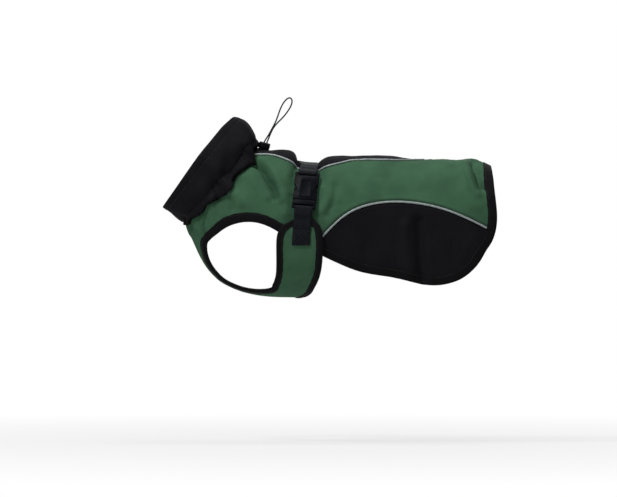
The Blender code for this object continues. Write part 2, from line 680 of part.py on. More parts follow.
# Collar
def collar_rings():
    """The outer face from the seam to the mouth: places along it and points for each turn."""
    turns = 2 * math.pi / NECK_POINTS * np.arange(NECK_POINTS)
    seam = neck_run(turns)
    down = unit(np.cross([0, 1, 0], np.array([-93.2, 0, -104.5])))
    rings = [skin(seam - 0.9, turns, -0.8)]
    rings.append(skin(seam + 1.5, turns, 3.7 - 1.1 * smoothstep(np.abs(wrapped(turns)) - 2.1)))
    rows = np.array(COLLAR)
    bow = neck_run(turns)
    for k, row in enumerate(rows):
        ring = ring_point(np.repeat(row[None, :6], NECK_POINTS, axis=0), turns)
        middle = ring.mean(axis=0)
        out = unit(ring - middle)
        fade = (0.75, 0.4, 0.18, 0.1)[k]
        wave = 1.2 * np.cos(5 * turns + 0.8) + 0.8 * np.cos(3 * turns - 1.0) if k > 1 else 0
        rings.append(ring - down * (bow * row[6])[:, None] + out * (gather(turns) * fade + wave)[:, None])
    return turns, np.array(rings)


def collar():
    turns, rings = collar_rings()
    long = np.linalg.norm(np.diff(rings, axis=0), axis=2).mean(axis=1)
    places = np.concatenate([[0], np.cumsum(long)])
    at = spline(places, rings)
    top = places[-1]
    levels = [(0.0, 1), (places[1] * 0.55, 1), (places[1], 1), (places[1] + 5, 1), (places[2], 1)]
    levels += [(p, 2) for p in np.linspace(places[2] + 10, top, 6)]

    def face(up, column):
        return at(np.full(len(column), up), column)

    def offset(up, column):
        after = face(min(up + 0.5, top), column) - face(max(up - 0.5, 0.0), column)
        side = face(up, (column + 1) % NECK_POINTS) - face(up, (column - 1) % NECK_POINTS)
        return unit(np.cross(side, after))

    points, walls, starts, faces = [], [], [], []
    for up, every in levels:
        column = np.arange(0, NECK_POINTS, every)
        starts.append((sum(len(p) for p in points), len(column), every))
        here = face(up, column)
        points.append(here)
        # thinner where the cloth turns tightly at the throat
        turned = smoothstep(np.abs(wrapped(turns[column])) - 2.0) * (up < places[1] + 6)
        walls.append(here - offset(up, column) * (CLOTH * (1 - 0.4 * turned))[:, None])
    for (a, na, ea), (b, nb, eb) in zip(starts[:-1], starts[1:]):
        for j in range(nb):
            if ea == eb:
                p, q = a + j, a + (j + 1) % na
                r, s = b + j, b + (j + 1) % nb
                faces += [(p, q, s), (p, s, r)] if j % 2 else [(p, q, r), (q, s, r)]
            else:
                p, q, r = a + 2 * j, a + 2 * j + 1, a + (2 * j + 2) % na
                s, t = b + j, b + (j + 1) % nb
                faces += [(p, q, s), (q, t, s), (q, r, t)]
    walled("collar", np.vstack(points), np.vstack(walls), faces, "black_softshell")


collar()


# Webbing and buckles
def strap_row(turn, highs, by=WEB_W / 2):
    """Underside of the webbing at a turn: its two edges and middle."""
    middle = np.array([[strap_run([turn])[0], turn]])
    offs = np.array([-by, 0, by]) / strap_scale([turn])
    return np.concatenate([skin(middle[:, 0] + off, middle[:, 1], highs) for off in offs])


def buckle_frame(side):
    """Origin on the cloth under the buckle; columns run down the strap, along X and outward."""
    turn = on_side([(-0.8, -37.8)])[0, 1] * side
    turns = np.array([turn - 0.02 * side, turn, turn + 0.02 * side])
    line = skin(strap_run(turns), turns)
    out = unit(normal(shaped, strap_run(turns)[1:2], turns[1:2])[0])
    down = unit(line[2] - line[0])
    down = unit(down - out * (down @ out))
    return line[1] + out * 1.0, np.column_stack([down, np.cross(out, down), out])


BAR_HIGH, BAR_TURN_R = 5.1, 2.35
FEMALE_BAR, MALE_BAR = -27.5, 25.5


def loop_rows(side, bar, start_row, tail):
    """Webbing from start_row over a bar, through its slot and back beneath itself."""
    centre, axes = buckle_frame(side)
    down, along, out = axes.T
    place = centre + down * bar + out * BAR_HIGH
    reach = start_row[1] - place
    long = float(np.linalg.norm(reach))
    way = unit(reach - along * (reach @ along))
    rise = unit(np.cross(way, along))
    rise = rise * math.copysign(1, rise @ out)
    flat = np.array([-1.0, 0.0, 1.0])[:, None] * along * WEB_W / 2
    if (start_row[2] - start_row[0]) @ along < 0:
        flat = flat[::-1]
    rows, outs = [], []
    for back in (long * 0.66, long * 0.33, 0.0):
        rows.append(place + way * back + rise * BAR_TURN_R + flat)
        outs.append(rise)
    for angle in (36, 72, 108, 144, 180):
        a = math.radians(angle)
        spoke = rise * math.cos(a) - way * math.sin(a)
        rows.append(place + spoke * BAR_TURN_R + flat)
        outs.append(spoke)
    for back, gap in ((4.5, 4.4), (0.57 * tail, 2.0), (0.8 * tail, 0.6), (tail, 0.5)):
        rows.append(place + way * back + rise * (BAR_TURN_R - gap) + flat)
        outs.append(-rise)
    return rows, outs


def webbing(name, rows, outs):
    """Webbing from rows of its inner face (edge, middle, edge) and the way its thickness goes."""
    rows, outs = np.array(rows), np.array(outs)
    outer = rows + outs[:, None] * WEB_T
    section = np.concatenate([rows, outer[:, ::-1]], axis=1)
    return strip(name, section, "black_webbing")


def on_cloth(turns, highs):
    rows = [strap_row(t, h) for t, h in zip(turns, highs)]
    outs = []
    for t in turns:
        outs.append(normal(shaped, strap_run([t]), np.array([t]))[0])
    return rows, outs


rows, outs = on_cloth(np.linspace(-0.2, 0.2, 9), np.full(9, 0.6))
right_rows, right_outs = loop_rows(1, FEMALE_BAR, rows[-1], 17.0)
left_rows, left_outs = loop_rows(-1, FEMALE_BAR, rows[0], 17.0)
webbing("back_strap", left_rows[::-1] + rows + right_rows, left_outs[::-1] + outs + right_outs)

WING_STRAP = ((-4.3, -76.5), (-4.9, -87.5), (-5.3, -92.5), (-5.7, -99), (-6.2, -106), (-6.5, STRAP_END_Z))
wing_turns = on_side(WING_STRAP)
wing_highs = np.array([WING_LIFT + 1.75] * 2 + [WING_LIFT + 0.5] * 4)
for side, word in ((1, "right"), (-1, "left")):
    rows, outs = on_cloth(wing_turns[:, 1] * side, wing_highs)
    loop, loop_outs = loop_rows(side, MALE_BAR, rows[0], 9.0)
    webbing(f"wing_strap_{word}", rows[::-1] + loop, outs[::-1] + loop_outs)


def block(name, low, high, bevel=0.0, segments=2):
    """A box from its two corners in mm, kept among the cutters."""
    shape = bmesh.new()
    bmesh.ops.create_cube(shape, size=1.0)
    low, high = Vector(low), Vector(high)
    for v in shape.verts:
        v.co = Vector((low[i] + high[i]) / 2 + v.co[i] * (high[i] - low[i]) for i in range(3)) * MM
    if bevel:
        edges = shape.edges[:]
        bmesh.ops.bevel(shape, geom=edges, offset=bevel * MM, segments=segments, affect="EDGES", profile=0.5)
    mesh = bpy.data.meshes.new(name)
    shape.to_mesh(mesh)
    shape.free()
    thing = bpy.data.objects.new(name, mesh)
    cutters.objects.link(thing)
    thing.hide_render = True
    thing.display_type = "WIRE"
    return thing


def built(body, steps):
    """The box after its joins and cuts, as mesh points in metres and faces."""
    for kind, other in steps:
        cut = body.modifiers.new(other.name, "BOOLEAN")
        cut.operation, cut.solver, cut.object = kind, "EXACT", other
    graph = bpy.context.evaluated_depsgraph_get()
    return bpy.data.meshes.new_from_object(body.evaluated_get(graph))


def placed(name, mesh, centre, axes, stuff):
    """A copy of the piece in the coat, its axes the columns given."""
    thing = bpy.data.objects.new(name, mesh.copy())
    thing.data.materials.clear()
    thing.data.materials.append(material(stuff))
    thing.matrix_world = Matrix([[*axes[i], centre[i] * MM] for i in range(3)] + [[0, 0, 0, 1]])
    coat.objects.link(thing)


female = built(block("female_shell", (-23.2, -17, 0.8), (14, 17, 9.3), 1.6), [
    ("UNION", block("female_arms", (-29.1, -17, 3.5), (-20, 17, 6.7), 0.7, 1)),
    ("DIFFERENCE", block("female_slot", (-26.2, -13.2, 1), (-23.2, 13.2, 9))),
    ("DIFFERENCE", block("female_hollow", (-18, -13.4, 2.6), (15, 13.4, 7.5))),
    ("DIFFERENCE", block("female_windows", (-9, -18, 2.9), (4, 18, 7.2))),
])
male = built(block("male_head", (14.4, -17, 0.8), (21.2, 17, 9.3), 1.6), [
    ("UNION", block("male_arms", (20, -17, 3.5), (27.1, 17, 6.7), 0.7, 1)),
    ("DIFFERENCE", block("male_slot", (21.2, -13.2, 1), (24.2, 13.2, 9))),
    ("UNION", block("male_prong_a", (-8.4, 9.2, 3.1), (16, 12.6, 7.0))),
    ("UNION", block("male_prong_b", (-8.4, -12.6, 3.1), (16, -9.2, 7.0))),
    ("UNION", block("male_button_a", (-8.3, 12.0, 3.4), (3.4, 16.4, 6.7), 0.8, 1)),
    ("UNION", block("male_button_b", (-8.3, -16.4, 3.4), (3.4, -12.0, 6.7), 0.8, 1)),
    ("UNION", block("male_tongue", (-4, -2.5, 3.3), (16, 2.5, 6.8))),
])
for side, word in ((1, "right"), (-1, "left")):
    centre, axes = buckle_frame(side)
    placed(f"buckle_female_{word}", female, centre, axes, "black_plastic")
    placed(f"buckle_male_{word}", male, centre, axes, "black_plastic")

# Cord lock at the nape, its hole tipped 15 degrees to the tail
LOCK_AT = (-58.7, 0.0, 27.0)
tip = math.radians(15)
lock_axes = np.array([[math.cos(tip), 0, math.sin(tip)], [0, 1, 0], [-math.sin(tip), 0, math.cos(tip)]])
lock = built(block("lock_shell", (-8, -7.5, -4.8), (8, 9, 4.8), 1.4), [
    ("DIFFERENCE", block("lock_bore", (-5.4, -9, -2.9), (5.4, 7, 2.9))),
    ("DIFFERENCE", block("lock_hole", (-3.9, -1.75, -8), (3.9, 1.75, 8))),
])
plunger = built(block("plunger_cap", (-6.4, -13.7, -3.9), (6.4, -10.7, 3.9), 1.0), [
    ("UNION", block("plunger_shaft", (-5.0, -11.5, -2.5), (5.0, 3.2, 2.5))),
    ("DIFFERENCE", block("plunger_slot", (-3.9, -4.6, -6), (3.9, 1.55, 6))),
])
placed("cord_lock_body", lock, LOCK_AT, lock_axes, "black_plastic")
placed("cord_lock_plunger", plunger, LOCK_AT, lock_axes, "black_plastic")

# Elastic drawcord: up through the lock, a free loop, and back down
CORD_R = 1.1
CORD = (
    (-62.1, 0.0, 20.6), (-61.6, 0.0, 23.0), (-60.6, 0.0, 27.0), (-59.3, 0.0, 31.2), (-56.7, -0.6, 36.0),
    (-53.5, -1.2, 41.0), (-49.9, -1.6, 47.2), (-46.3, -1.8, 53.9), (-42.8, -1.8, 60.8), (-40.2, -1.4, 67.5),
    (-37.9, -0.9, 74.0), (-35.8, -0.4, 79.6), (-32.8, 0.0, 85.6), (-29.0, 0.1, 90.8), (-25.2, 0.1, 93.9),
    (-21.9, 0.1, 94.2), (-20.0, 0.1, 91.6), (-20.0, 0.1, 87.3), (-22.0, 0.3, 81.7), (-25.7, 0.7, 75.7),
    (-30.6, 1.2, 69.2), (-36.3, 1.6, 63.2), (-41.4, 1.8, 58.0), (-45.4, 1.7, 53.0), (-48.4, 1.4, 47.6),
    (-50.8, 0.9, 42.2), (-52.9, 0.4, 36.8), (-54.9, 0.0, 31.8), (-56.6, 0.0, 26.0), (-58.0, 0.0, 20.6),
)
line = bpy.data.curves.new("drawcord_loop", "CURVE")
line.dimensions = "3D"
line.bevel_depth = CORD_R * MM
line.bevel_resolution = 2
line.use_fill_caps = True
route = line.splines.new("POLY")
route.points.add(len(CORD) - 1)
for point, spot in zip(route.points, CORD):
    point.co = (*(c * MM for c in spot), 1)
line.materials.append(material("grey_elastic"))
coat.objects.link(bpy.data.objects.new("drawcord_loop", line))
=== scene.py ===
"""Looks of a dog's winter coat in its worn shape.

Lengths are in millimetres and become metres when a mesh is made. X runs to the tail, Y to the
wearer's right, Z up. A place on the cloth is (run, turn): run along the spine from the neck seam,
turn in radians round the body from the spine to the breast line, negative on the left.
"""

import math

import bmesh
import bpy
import numpy as np
from mathutils import Matrix, Vector
from mathutils.geometry import delaunay_2d_cdt
from mathutils.kdtree import KDTree


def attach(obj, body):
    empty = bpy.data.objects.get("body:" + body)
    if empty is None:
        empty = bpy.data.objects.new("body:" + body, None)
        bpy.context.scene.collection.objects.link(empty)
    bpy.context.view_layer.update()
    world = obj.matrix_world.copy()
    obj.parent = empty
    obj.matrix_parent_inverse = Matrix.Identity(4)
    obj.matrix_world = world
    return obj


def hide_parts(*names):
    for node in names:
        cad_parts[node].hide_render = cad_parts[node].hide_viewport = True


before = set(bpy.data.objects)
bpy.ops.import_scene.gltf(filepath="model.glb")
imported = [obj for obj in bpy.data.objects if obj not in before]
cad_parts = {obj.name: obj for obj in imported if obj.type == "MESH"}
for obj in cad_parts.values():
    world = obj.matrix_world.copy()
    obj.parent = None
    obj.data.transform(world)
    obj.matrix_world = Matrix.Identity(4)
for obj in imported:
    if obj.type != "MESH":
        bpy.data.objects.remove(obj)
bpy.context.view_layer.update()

MM = 0.001
PIPE_R = 1.45
WING_LIFT = 5.8
WEB_W = 25.0
WEB_T = 1.5
HEM_TAPE_W = 11.6
CHEST_TAPE_W = 8.0
CLOTH = 1.7
FLAT_R = 80.0
FULL_TOP, FULL_LOW = 0.03, 0.09
GRAIN = 2.1  # spacing of the cloth's mesh points

# back x, back z, breast x, breast z, half width, share of the depth above the widest line
BODY = (
    (-72.8, 19.6, -166.0, -85.0, 50.0, 0.48),
    (-53.0, 20.3, -156.0, -113.0, 57.0, 0.48),
    (-30.0, 21.9, -130.0, -156.0, 63.0, 0.48),
    (-12.0, 20.4, -88.0, -179.0, 68.0, 0.48),
    (4.0, 16.0, -42.0, -186.0, 71.0, 0.48),
    (20.0, 14.8, -2.0, -186.0, 72.0, 0.48),
    (40.0, 13.3, 38.0, -194.0, 72.0, 0.45),
    (60.0, 12.9, 62.0, -240.0, 71.5, 0.355),
    (84.0, 13.2, 84.0, -290.0, 71.0, 0.29),
    (113.0, 13.6, 113.0, -303.0, 71.5, 0.275),
    (130.0, 11.6, 130.0, -304.0, 72.2, 0.272),
    (146.0, 8.8, 146.0, -305.0, 73.0, 0.27),
    (165.0, 7.0, 165.0, -305.0, 74.0, 0.267),
    (188.0, 8.6, 188.0, -305.0, 75.0, 0.265),
    (218.0, 7.6, 218.0, -305.0, 76.5, 0.262),
    (231.0, 9.4, 231.0, -305.0, 77.0, 0.262),
    (240.0, 7.8, 240.0, -305.0, 77.0, 0.26),
    (249.0, 3.4, 249.0, -303.0, 76.5, 0.25),
    (259.0, -1.8, 259.0, -300.0, 76.0, 0.245),
    (275.0, -9.0, 275.0, -295.0, 75.0, 0.23),
)
COLLAR = (
    (-70.2, 33.0, -171.5, -81.8, 57.0, 0.48, 0.9),
    (-75.5, 50.0, -180.0, -76.0, 60.0, 0.48, 0.45),
    (-86.0, 61.0, -190.0, -69.0, 59.0, 0.48, 0.2),
    (-100.8, 66.5, -201.6, -60.9, 56.0, 0.48, -0.6),
)
NECK_BOW = ((0, 0.0), (25, 4.0), (50, 6.5), (90, 7.0), (115, 3.5), (140, 0.8), (180, 0.0))
# How far the gathered collar hangs over the neck seam: turn in degrees, mm on the left, on the right
SCALLOP = ((0, -1.0, -1.0), (18, -2.4, 0.5), (25, -6.2, -3.5), (34, -6.6, -5.5), (39, 0.6, -1.5), (43, 4.2, 3.0),
           (54, 3.4, 3.6), (64, 0.6, 2.4), (75, -4.2, -2.0), (80, -1.0, -3.8), (85, 6.0, -1.5), (90, 6.2, 4.0),
           (97, 3.0, 4.6), (106, 0.0, 2.0), (116, -2.2, -1.6), (124, 0.4, -2.6), (139, -2.8, 1.2), (151, -1.0, -2.4),
           (166, -3.0, -2.0), (180, -3.6, -3.6))
GATHERS = 16
GATHER_HIGH = 2.1
GATHER_FADE = 40.0
CINCH = 14.0
CINCH_HALF = 12.9  # the cloth lies flat this far each side of the strap's middle, then rises
CINCH_LEAN = 0.1  # on the spine the strap's front edge pulls deeper than its rear one
SPINE = ((-90, 21), (-72.7, 23.6), (-55.8, 27.3), (-43.4, 30.5), (-34.8, 34.6), (-26.8, 39), (-20, 42.2), (-10, 44),
         (4, 44), (21.8, 44.2), (31.3, 44), (38.2, 42.6), (44.9, 40.1), (51.9, 36.8), (58.9, 33.6), (65.9, 31.4),
         (79.9, 30), (93.9, 31), (107.9, 32.8), (120, 31.6), (130, 28.4), (140, 22.4), (150, 14.6), (160, 6.8),
         (170, -0.8), (178, -5.6))
FLANK = ((-12, -131), (6, -117), (20, -104), (54, -71.5), (92, -55.6), (130, -52.4),
         (178, -58.8), (221, -73.8), (258, -92), (276, -101))
LOWER_EDGE = ((-141, -114), (-137, -104.6), (-128, -96.7), (-114, -86.7), (-98, -80.5), (-81.8, -78.5),
              (-65.8, -80.5), (-49.6, -86.7), (-37.5, -93.7), (-22, -103), (-10, -109.5), (6, -118),
              (23.7, -127), (54, -141), (77, -149), (97, -153), (125, -157.5), (152, -164),
              (174, -167.5), (189, -167), (212, -160.6), (229, -149), (242, -134), (250.6, -119),
              (256.6, -110), (262, -97), (264.8, -80), (264.2, -59), (261.9, -35), (260.4, -16))
TAIL_TOP_X = 259.4
CHEST_SEAM = ((-131, -45), (-137, -60), (-142, -76), (-143.5, -90), (-139.5, -101), (-134.5, -109))
CHEST_FRONT = ((-128, -96.7), (-137, -104.6), (-141.5, -111))
CHEST_STRIP = ((-147.5, 36.5), (-138, 31.5), (-122, 28), (-102, 27), (-84, 29), (-70, 33))
WING = ((-47.6, -174), (-41.6, -158), (-39.6, -139.9), (-39.6, -109.8), (-37.5, -96), (-31, -86),
        (-16, -79), (0, -77), (11, -79.5), (18.8, -87.5), (21.7, -99), (21.9, -127.8), (19.6, -148),
        (14.6, -165), (7.5, -179))
BELLY_REAR = ((0, 20), (-5, 9), (-7, 0))
STRAP_LINE = ((3.8, -6), (-0.6, -35), (-4.5, -80), (-6.5, -112))
STRAP_END_Z = -112.7
# Folds. side (-1 left, 1 right, 0 both), height, half width, then side-view x and z
FOLDS = (
    (-1, -8.6, 4.2, ((-74, 9), (-66, -0.7), (-60, -8.5), (-54.5, -19.5), (-46.4, -30.5), (-42, -46))),
    (-1, -4.0, 8.0, ((-72, -1), (-64, -12), (-58.5, -23), (-52, -33))),
    (-1, 3.0, 5.5, ((-54, 3), (-42, -12), (-36, -28), (-34, -48))),
    (-1, 2.4, 4.5, ((-74, -4), (-64, -14), (-58, -28), (-54, -46))),
    (-1, -3.6, 3.6, ((-112, -40), (-105, -50), (-101, -62))),
    (-1, 2.6, 5.0, ((-98, -40), (-92, -56))),
    (-1, 2.8, 7.0, ((-25, -40), (-27, -68))),
    (-1, 3.4, 6.5, ((24, -32), (27, -48), (22, -64))),
    (-1, -2.6, 5.0, ((42, -30), (39, -52), (31, -70))),
    (-1, 3.6, 5.5, ((222, 1), (227, -13), (231, -25), (239, -41))),
    (-1, -7.4, 8.0, ((237, 2), (241.5, -10), (243, -20), (245.5, -29))),
    (-1, -4.0, 4.2, ((234, 3), (241, -9), (243, -20), (247, -31))),
    (-1, -6.0, 7.5, ((157, -80), (159, -104), (160, -128), (163, -160))),
    (-1, 3.0, 8.0, ((138, -86), (140, -120), (145, -150))),
    (1, -6.2, 4.4, ((-62, -3), (-54, -14), (-48, -28), (-45, -44))),
    (1, 2.8, 6.0, ((-42, -6), (-35, -24), (-32, -42))),
    (1, -2.2, 4.0, ((-118, -46), (-110, -56), (-107, -64))),
    (1, 2.2, 8.0, ((-28, -44), (-29, -64))),
    (1, 2.4, 8.0, ((24, -38), (24, -52), (20, -64))),
    (1, -5.4, 5.0, ((219, 3), (225, -9), (231, -22), (239, -38))),
    (1, 1.6, 5.0, ((234, -4), (242, -22), (249, -38))),
    (1, -5.4, 8.0, ((132, -76), (134, -100), (134, -124), (129, -152))),
    (0, 3.0, 4.5, ((-71, 22), (-58, 21))),
    (0, 1.9, 3.6, ((-73, 22), (-66, 21.5))),
    (0, 2.0, 6.0, ((-167, -86), (-163, -95))),
)
# Small creases of the sewn cloth, in the same columns
CREASES = (
    (-1, 1.3, 4.5, ((-58, 3), (-46, -13), (-39, -33))),
    (-1, -1.0, 2.6, ((-75, 5), (-72, -6), (-66, -18), (-63, -30))),
    (-1, -0.9, 2.8, ((-84, -20), (-77, -31), (-70, -45), (-68, -58))),
    (-1, 0.9, 3.2, ((-92, -27), (-86, -40), (-84, -56))),
    (-1, -1.0, 2.4, ((-113, -45), (-107, -56), (-106, -70))),
    (-1, 1.0, 2.6, ((-109, -43), (-101, -55), (-97, -68))),
    (-1, -0.9, 2.4, ((-128, -55), (-124, -66), (-126, -80))),
    (-1, -0.8, 2.4, ((-141, -66), (-137, -78), (-138, -92))),
    (-1, -1.2, 3.2, ((-20, -8), (-24, -22), (-23, -38), (-20, -52))),
    (-1, -0.8, 3.0, ((-38, -52), (-30, -66), (-22, -78))),
    (-1, -1.1, 3.4, ((24, -10), (27, -24), (25, -40), (27, -54))),
    (-1, 0.8, 4.0, ((33, -16), (36, -34), (34, -52))),
    (-1, -0.8, 3.6, ((30, -64), (41, -58), (56, -56))),
    (-1, -0.6, 5.0, ((60, -14), (92, -18), (128, -16))),
    (-1, -0.5, 5.0, ((96, -36), (136, -40), (176, -38))),
    (-1, 1.2, 4.0, ((220, -2), (226, -18), (238, -36))),
    (-1, 0.8, 4.0, ((240, -6), (247, -20), (255, -34))),
    (-1, -0.7, 3.2, ((258, -30), (250, -48), (250, -68))),
    (-1, 0.9, 6.0, ((136, -86), (135, -120), (141, -152))),
    (-1, -0.8, 4.0, ((62, -80), (78, -100), (84, -130))),
    (-1, -0.6, 5.0, ((196, -84), (204, -110), (200, -138))),
    (-1, 0.7, 5.0, ((232, -100), (222, -120), (212, -140))),
    (1, -1.1, 2.8, ((-78, 4), (-70, -12), (-66, -28))),
    (1, 1.1, 4.2, ((-54, 0), (-42, -16), (-38, -36))),
    (1, -0.9, 2.6, ((-90, -24), (-80, -38), (-76, -54))),
    (1, 0.9, 3.0, ((-102, -34), (-94, -48), (-92, -64))),
    (1, -1.0, 2.6, ((-124, -52), (-118, -66), (-118, -80))),
    (1, -0.8, 2.4, ((-138, -64), (-135, -78), (-139, -90))),
    (1, -1.1, 3.2, ((-21, -10), (-25, -26), (-22, -44))),
    (1, -1.0, 3.2, ((26, -8), (28, -26), (26, -48))),
    (1, -0.8, 3.4, ((34, -60), (48, -52), (66, -50))),
    (1, -0.6, 5.0, ((70, -20), (110, -24), (150, -18))),
    (1, 1.1, 4.0, ((214, 0), (222, -14), (232, -34))),
    (1, -0.8, 3.4, ((254, -26), (246, -44), (248, -70))),
    (1, 0.9, 6.0, ((118, -84), (116, -118), (112, -148))),
    (1, -0.8, 4.5, ((60, -84), (74, -106), (78, -132))),
    (1, -0.6, 5.0, ((190, -82), (186, -112), (194, -140))),
)


def spline(knots, values):
    """The natural cubic through the rows of values, as a function of an array of places."""
    k, v = np.asarray(knots, float), np.asarray(values, float)
    n, h = len(k), np.diff(np.asarray(knots, float))
    system, right = np.zeros((n, n)), np.zeros(v.shape)
    system[0, 0] = system[-1, -1] = 1.0
    for i in range(1, n - 1):
        system[i, i - 1 : i + 2] = h[i - 1], 2 * (h[i - 1] + h[i]), h[i]
        right[i] = 6 * ((v[i + 1] - v[i]) / h[i] - (v[i] - v[i - 1]) / h[i - 1])
    bend = np.linalg.solve(system, right.reshape(n, -1)).reshape(v.shape)

    def at(x, column=None):
        x = np.atleast_1d(np.asarray(x, float))
        i = np.clip(np.searchsorted(k, x, side="right") - 1, 0, n - 2)
        pick = (lambda a, r: a[r]) if column is None else (lambda a, r: a[r, column])
        shape = (-1,) + (1,) * (pick(v, i).ndim - 1)
        hi = h[i].reshape(shape)
        p = ((k[i + 1] - x) / h[i]).reshape(shape)
        q = 1 - p
        curve = (p**3 - p) * pick(bend, i) + (q**3 - q) * pick(bend, i + 1)
        return p * pick(v, i) + q * pick(v, i + 1) + curve * hi**2 / 6

    return at


def smoothstep(x):
    x = np.clip(x, 0, 1)
    return x * x * (3 - 2 * x)


body_table = np.array(BODY)
body_run = np.concatenate([[0], np.cumsum(np.hypot(*np.diff(body_table[:, :2], axis=0).T))])
body_at = spline(body_run, body_table)
RUN_MAX = float(body_run[-1])
bow_at = spline(np.radians([row[0] for row in NECK_BOW]), [[row[1]] for row in NECK_BOW])
scallop_at = spline(np.radians([row[0] for row in SCALLOP]), [row[1:] for row in SCALLOP])
TURNS = np.linspace(0, math.pi, 361)
run_grid = np.arange(-24, RUN_MAX + 6, 1.0)


def ring_depth(turn, mid):
    """Share of the section's depth at this turn, 0 at the back and 1 at the breast line."""
    c = np.cos(turn)
    full = 1 + np.where(c > 0, FULL_TOP, FULL_LOW) * np.sin(2 * turn) ** 2
    return np.where(c > 0, mid * (1 - c * full), mid - (1 - mid) * c * full)


def ring_point(rows, turn):
    xd, zd, xv, zv, w, mid = rows[:, :6].T
    depth = ring_depth(turn, mid)
    full = 1 + np.where(np.cos(turn) > 0, FULL_TOP, FULL_LOW) * np.sin(2 * turn) ** 2
    return np.column_stack([xd + (xv - xd) * depth, w * np.sin(turn) * full, zd + (zv - zd) * depth])


def base(run, turn):
    return ring_point(body_at(run), np.asarray(turn, float))


def unit(v):
    return v / np.linalg.norm(v, axis=-1, keepdims=True)


def slopes(surface, run, turn):
    along = (surface(run + 0.4, turn) - surface(run - 0.4, turn)) / 0.8
    across = (surface(run, turn + 0.006) - surface(run, turn - 0.006)) / 0.012
    return along, across


def normal(surface, run, turn):
    along, across = slopes(surface, run, turn)
    return unit(np.cross(along, across))


def wrapped(turn):
    return (np.asarray(turn, float) + math.pi) % (2 * math.pi) - math.pi


def neck_run(turn):
    return bow_at(np.abs(wrapped(turn)))[:, 0]


def scallop(turn):
    t = wrapped(turn)
    both = scallop_at(np.abs(t))
    return np.where(t < 0, both[:, 0], both[:, 1])


def seam_run(turn):
    """The neck seam as it is sewn, drawn in and out by the gathers."""
    return neck_run(turn) + 0.45 * scallop(turn)


def gather(turn):
    """Uneven pleats round the neck seam."""
    t = wrapped(turn)
    phase = GATHERS * t + 1.1 * np.sin(2 * t + 0.4) + 0.8 * np.sin(5 * t + 1.9)
    high = 1 + 0.3 * np.sin(3 * t + 0.7) + 0.2 * np.sin(7 * t)
    nape = 1 - 0.8 * np.exp(-((t / 0.35) ** 2))
    return GATHER_HIGH * high * nape * np.cos(phase)


def pleats(below, turn, mm_per_turn=62.0):
    """Short sharp tucks between the gathers, each with its own place, length, width and lean."""
    out = np.zeros(len(turn))
    for k in range(43):
        place = math.radians(360 * k / 43 + 3.4 * math.sin(2.4 * k))
        long, wide = 15 + 8 * math.sin(3.1 * k), 1.5 + 0.5 * math.sin(1.3 * k)
        high = (0.55 + 0.35 * math.sin(1.7 * k)) * (-1 if k % 3 else 1)
        away = wrapped(turn - place - 0.0022 * below * math.sin(2.1 * k)) * mm_per_turn
        out += high * np.exp(-((away / wide) ** 2)) * (1 - smoothstep(below / long))
    return out


def near_line(x, z, line):
    """Distance to a side-view polyline and how far along it, from 0 to 1."""
    best, where = np.full(len(x), 1e9), np.zeros(len(x))
    n = len(line) - 1
    for i, (a, b) in enumerate(zip(line[:-1], line[1:])):
        d = np.array(b) - np.array(a)
        t = np.clip(((x - a[0]) * d[0] + (z - a[1]) * d[1]) / (d @ d), 0, 1)
        away = np.hypot(x - a[0] - t * d[0], z - a[1] - t * d[1])
        near = away < best
        best, where = np.where(near, away, best), np.where(near, (i + t) / n, where)
    return best, where


def eased(line):
    """The side-view line with its corners rounded."""
    rows = np.array(line, float)
    if len(rows) < 3:
        return [tuple(r) for r in rows]
    place = np.concatenate([[0], np.cumsum(np.hypot(*np.diff(rows, axis=0).T))])
    return [tuple(r) for r in spline(place, rows)(np.linspace(0, place[-1], 2 * len(rows) + 1))]


SMOOTH_FOLDS = [(side, high, half, eased(line)) for side, high, half, line in FOLDS]
SMOOTH_CREASES = [(side, high, half, eased(line)) for side, high, half, line in CREASES]


def waist(run, turn):
    """How deep the girth strap draws the cloth in at this place."""
    away = (run - strap_run(turn)) * strap_scale(turn)
    wider = 5.5 * smoothstep((np.abs(turn) - 0.45) / 0.3)
    off = np.maximum(np.abs(away) - CINCH_HALF - wider, 0)
    front, rear = np.exp(-off / 5.7), np.exp(-off / 11 - (off / 22) ** 2)
    share = np.where(away < 0, front, rear) * np.clip(1 - (turn / 1.75) ** 2, 0, 1)
    lean = CINCH_LEAN * np.clip(away, -13, 13) * (1 - smoothstep(np.abs(turn) / 0.55))
    return (CINCH - lean) * share


def relief(run, turn):
    """Height of the folds, gathers and girth waist over the plain form."""
    turn = wrapped(turn)
    below = run - seam_run(turn)
    out = -waist(run, turn)
    out = out + gather(turn) * (1 - smoothstep(below / GATHER_FADE)) ** 1.4
    out = out + pleats(np.maximum(below, 0), turn)
    place = base(run, turn)
    x, z = place[:, 0], place[:, 2]
    for side, high, half, line in SMOOTH_FOLDS + SMOOTH_CREASES:
        on = np.ones(len(turn)) if side == 0 else smoothstep(turn * side / 0.2)
        near = (x > min(p[0] for p in line) - 3 * half) & (x < max(p[0] for p in line) + 3 * half) & (on > 0)
        if near.any():
            away, along = near_line(x[near], z[near], line)
            fade = 1.0 if abs(high) > 1.45 else smoothstep(np.minimum(along, 1 - along) / 0.25 + 0.15)
            out[near] += high * np.exp(-((away / half) ** 2)) * on[near] * fade
    slack = 0.34 * np.sin(run / 9.1 + 2.3 * turn + 0.6) * np.sin(turn * 7.3 - run / 23.0)
    slack += 0.22 * np.sin(run / 5.3 - 5.1 * turn) * np.sin(11.7 * turn + run / 13.0 + 1.0)
    return out + slack * smoothstep(below / 30)


def shaped(run, turn):
    return base(run, turn) + normal(base, run, turn) * relief(run, turn)[:, None]


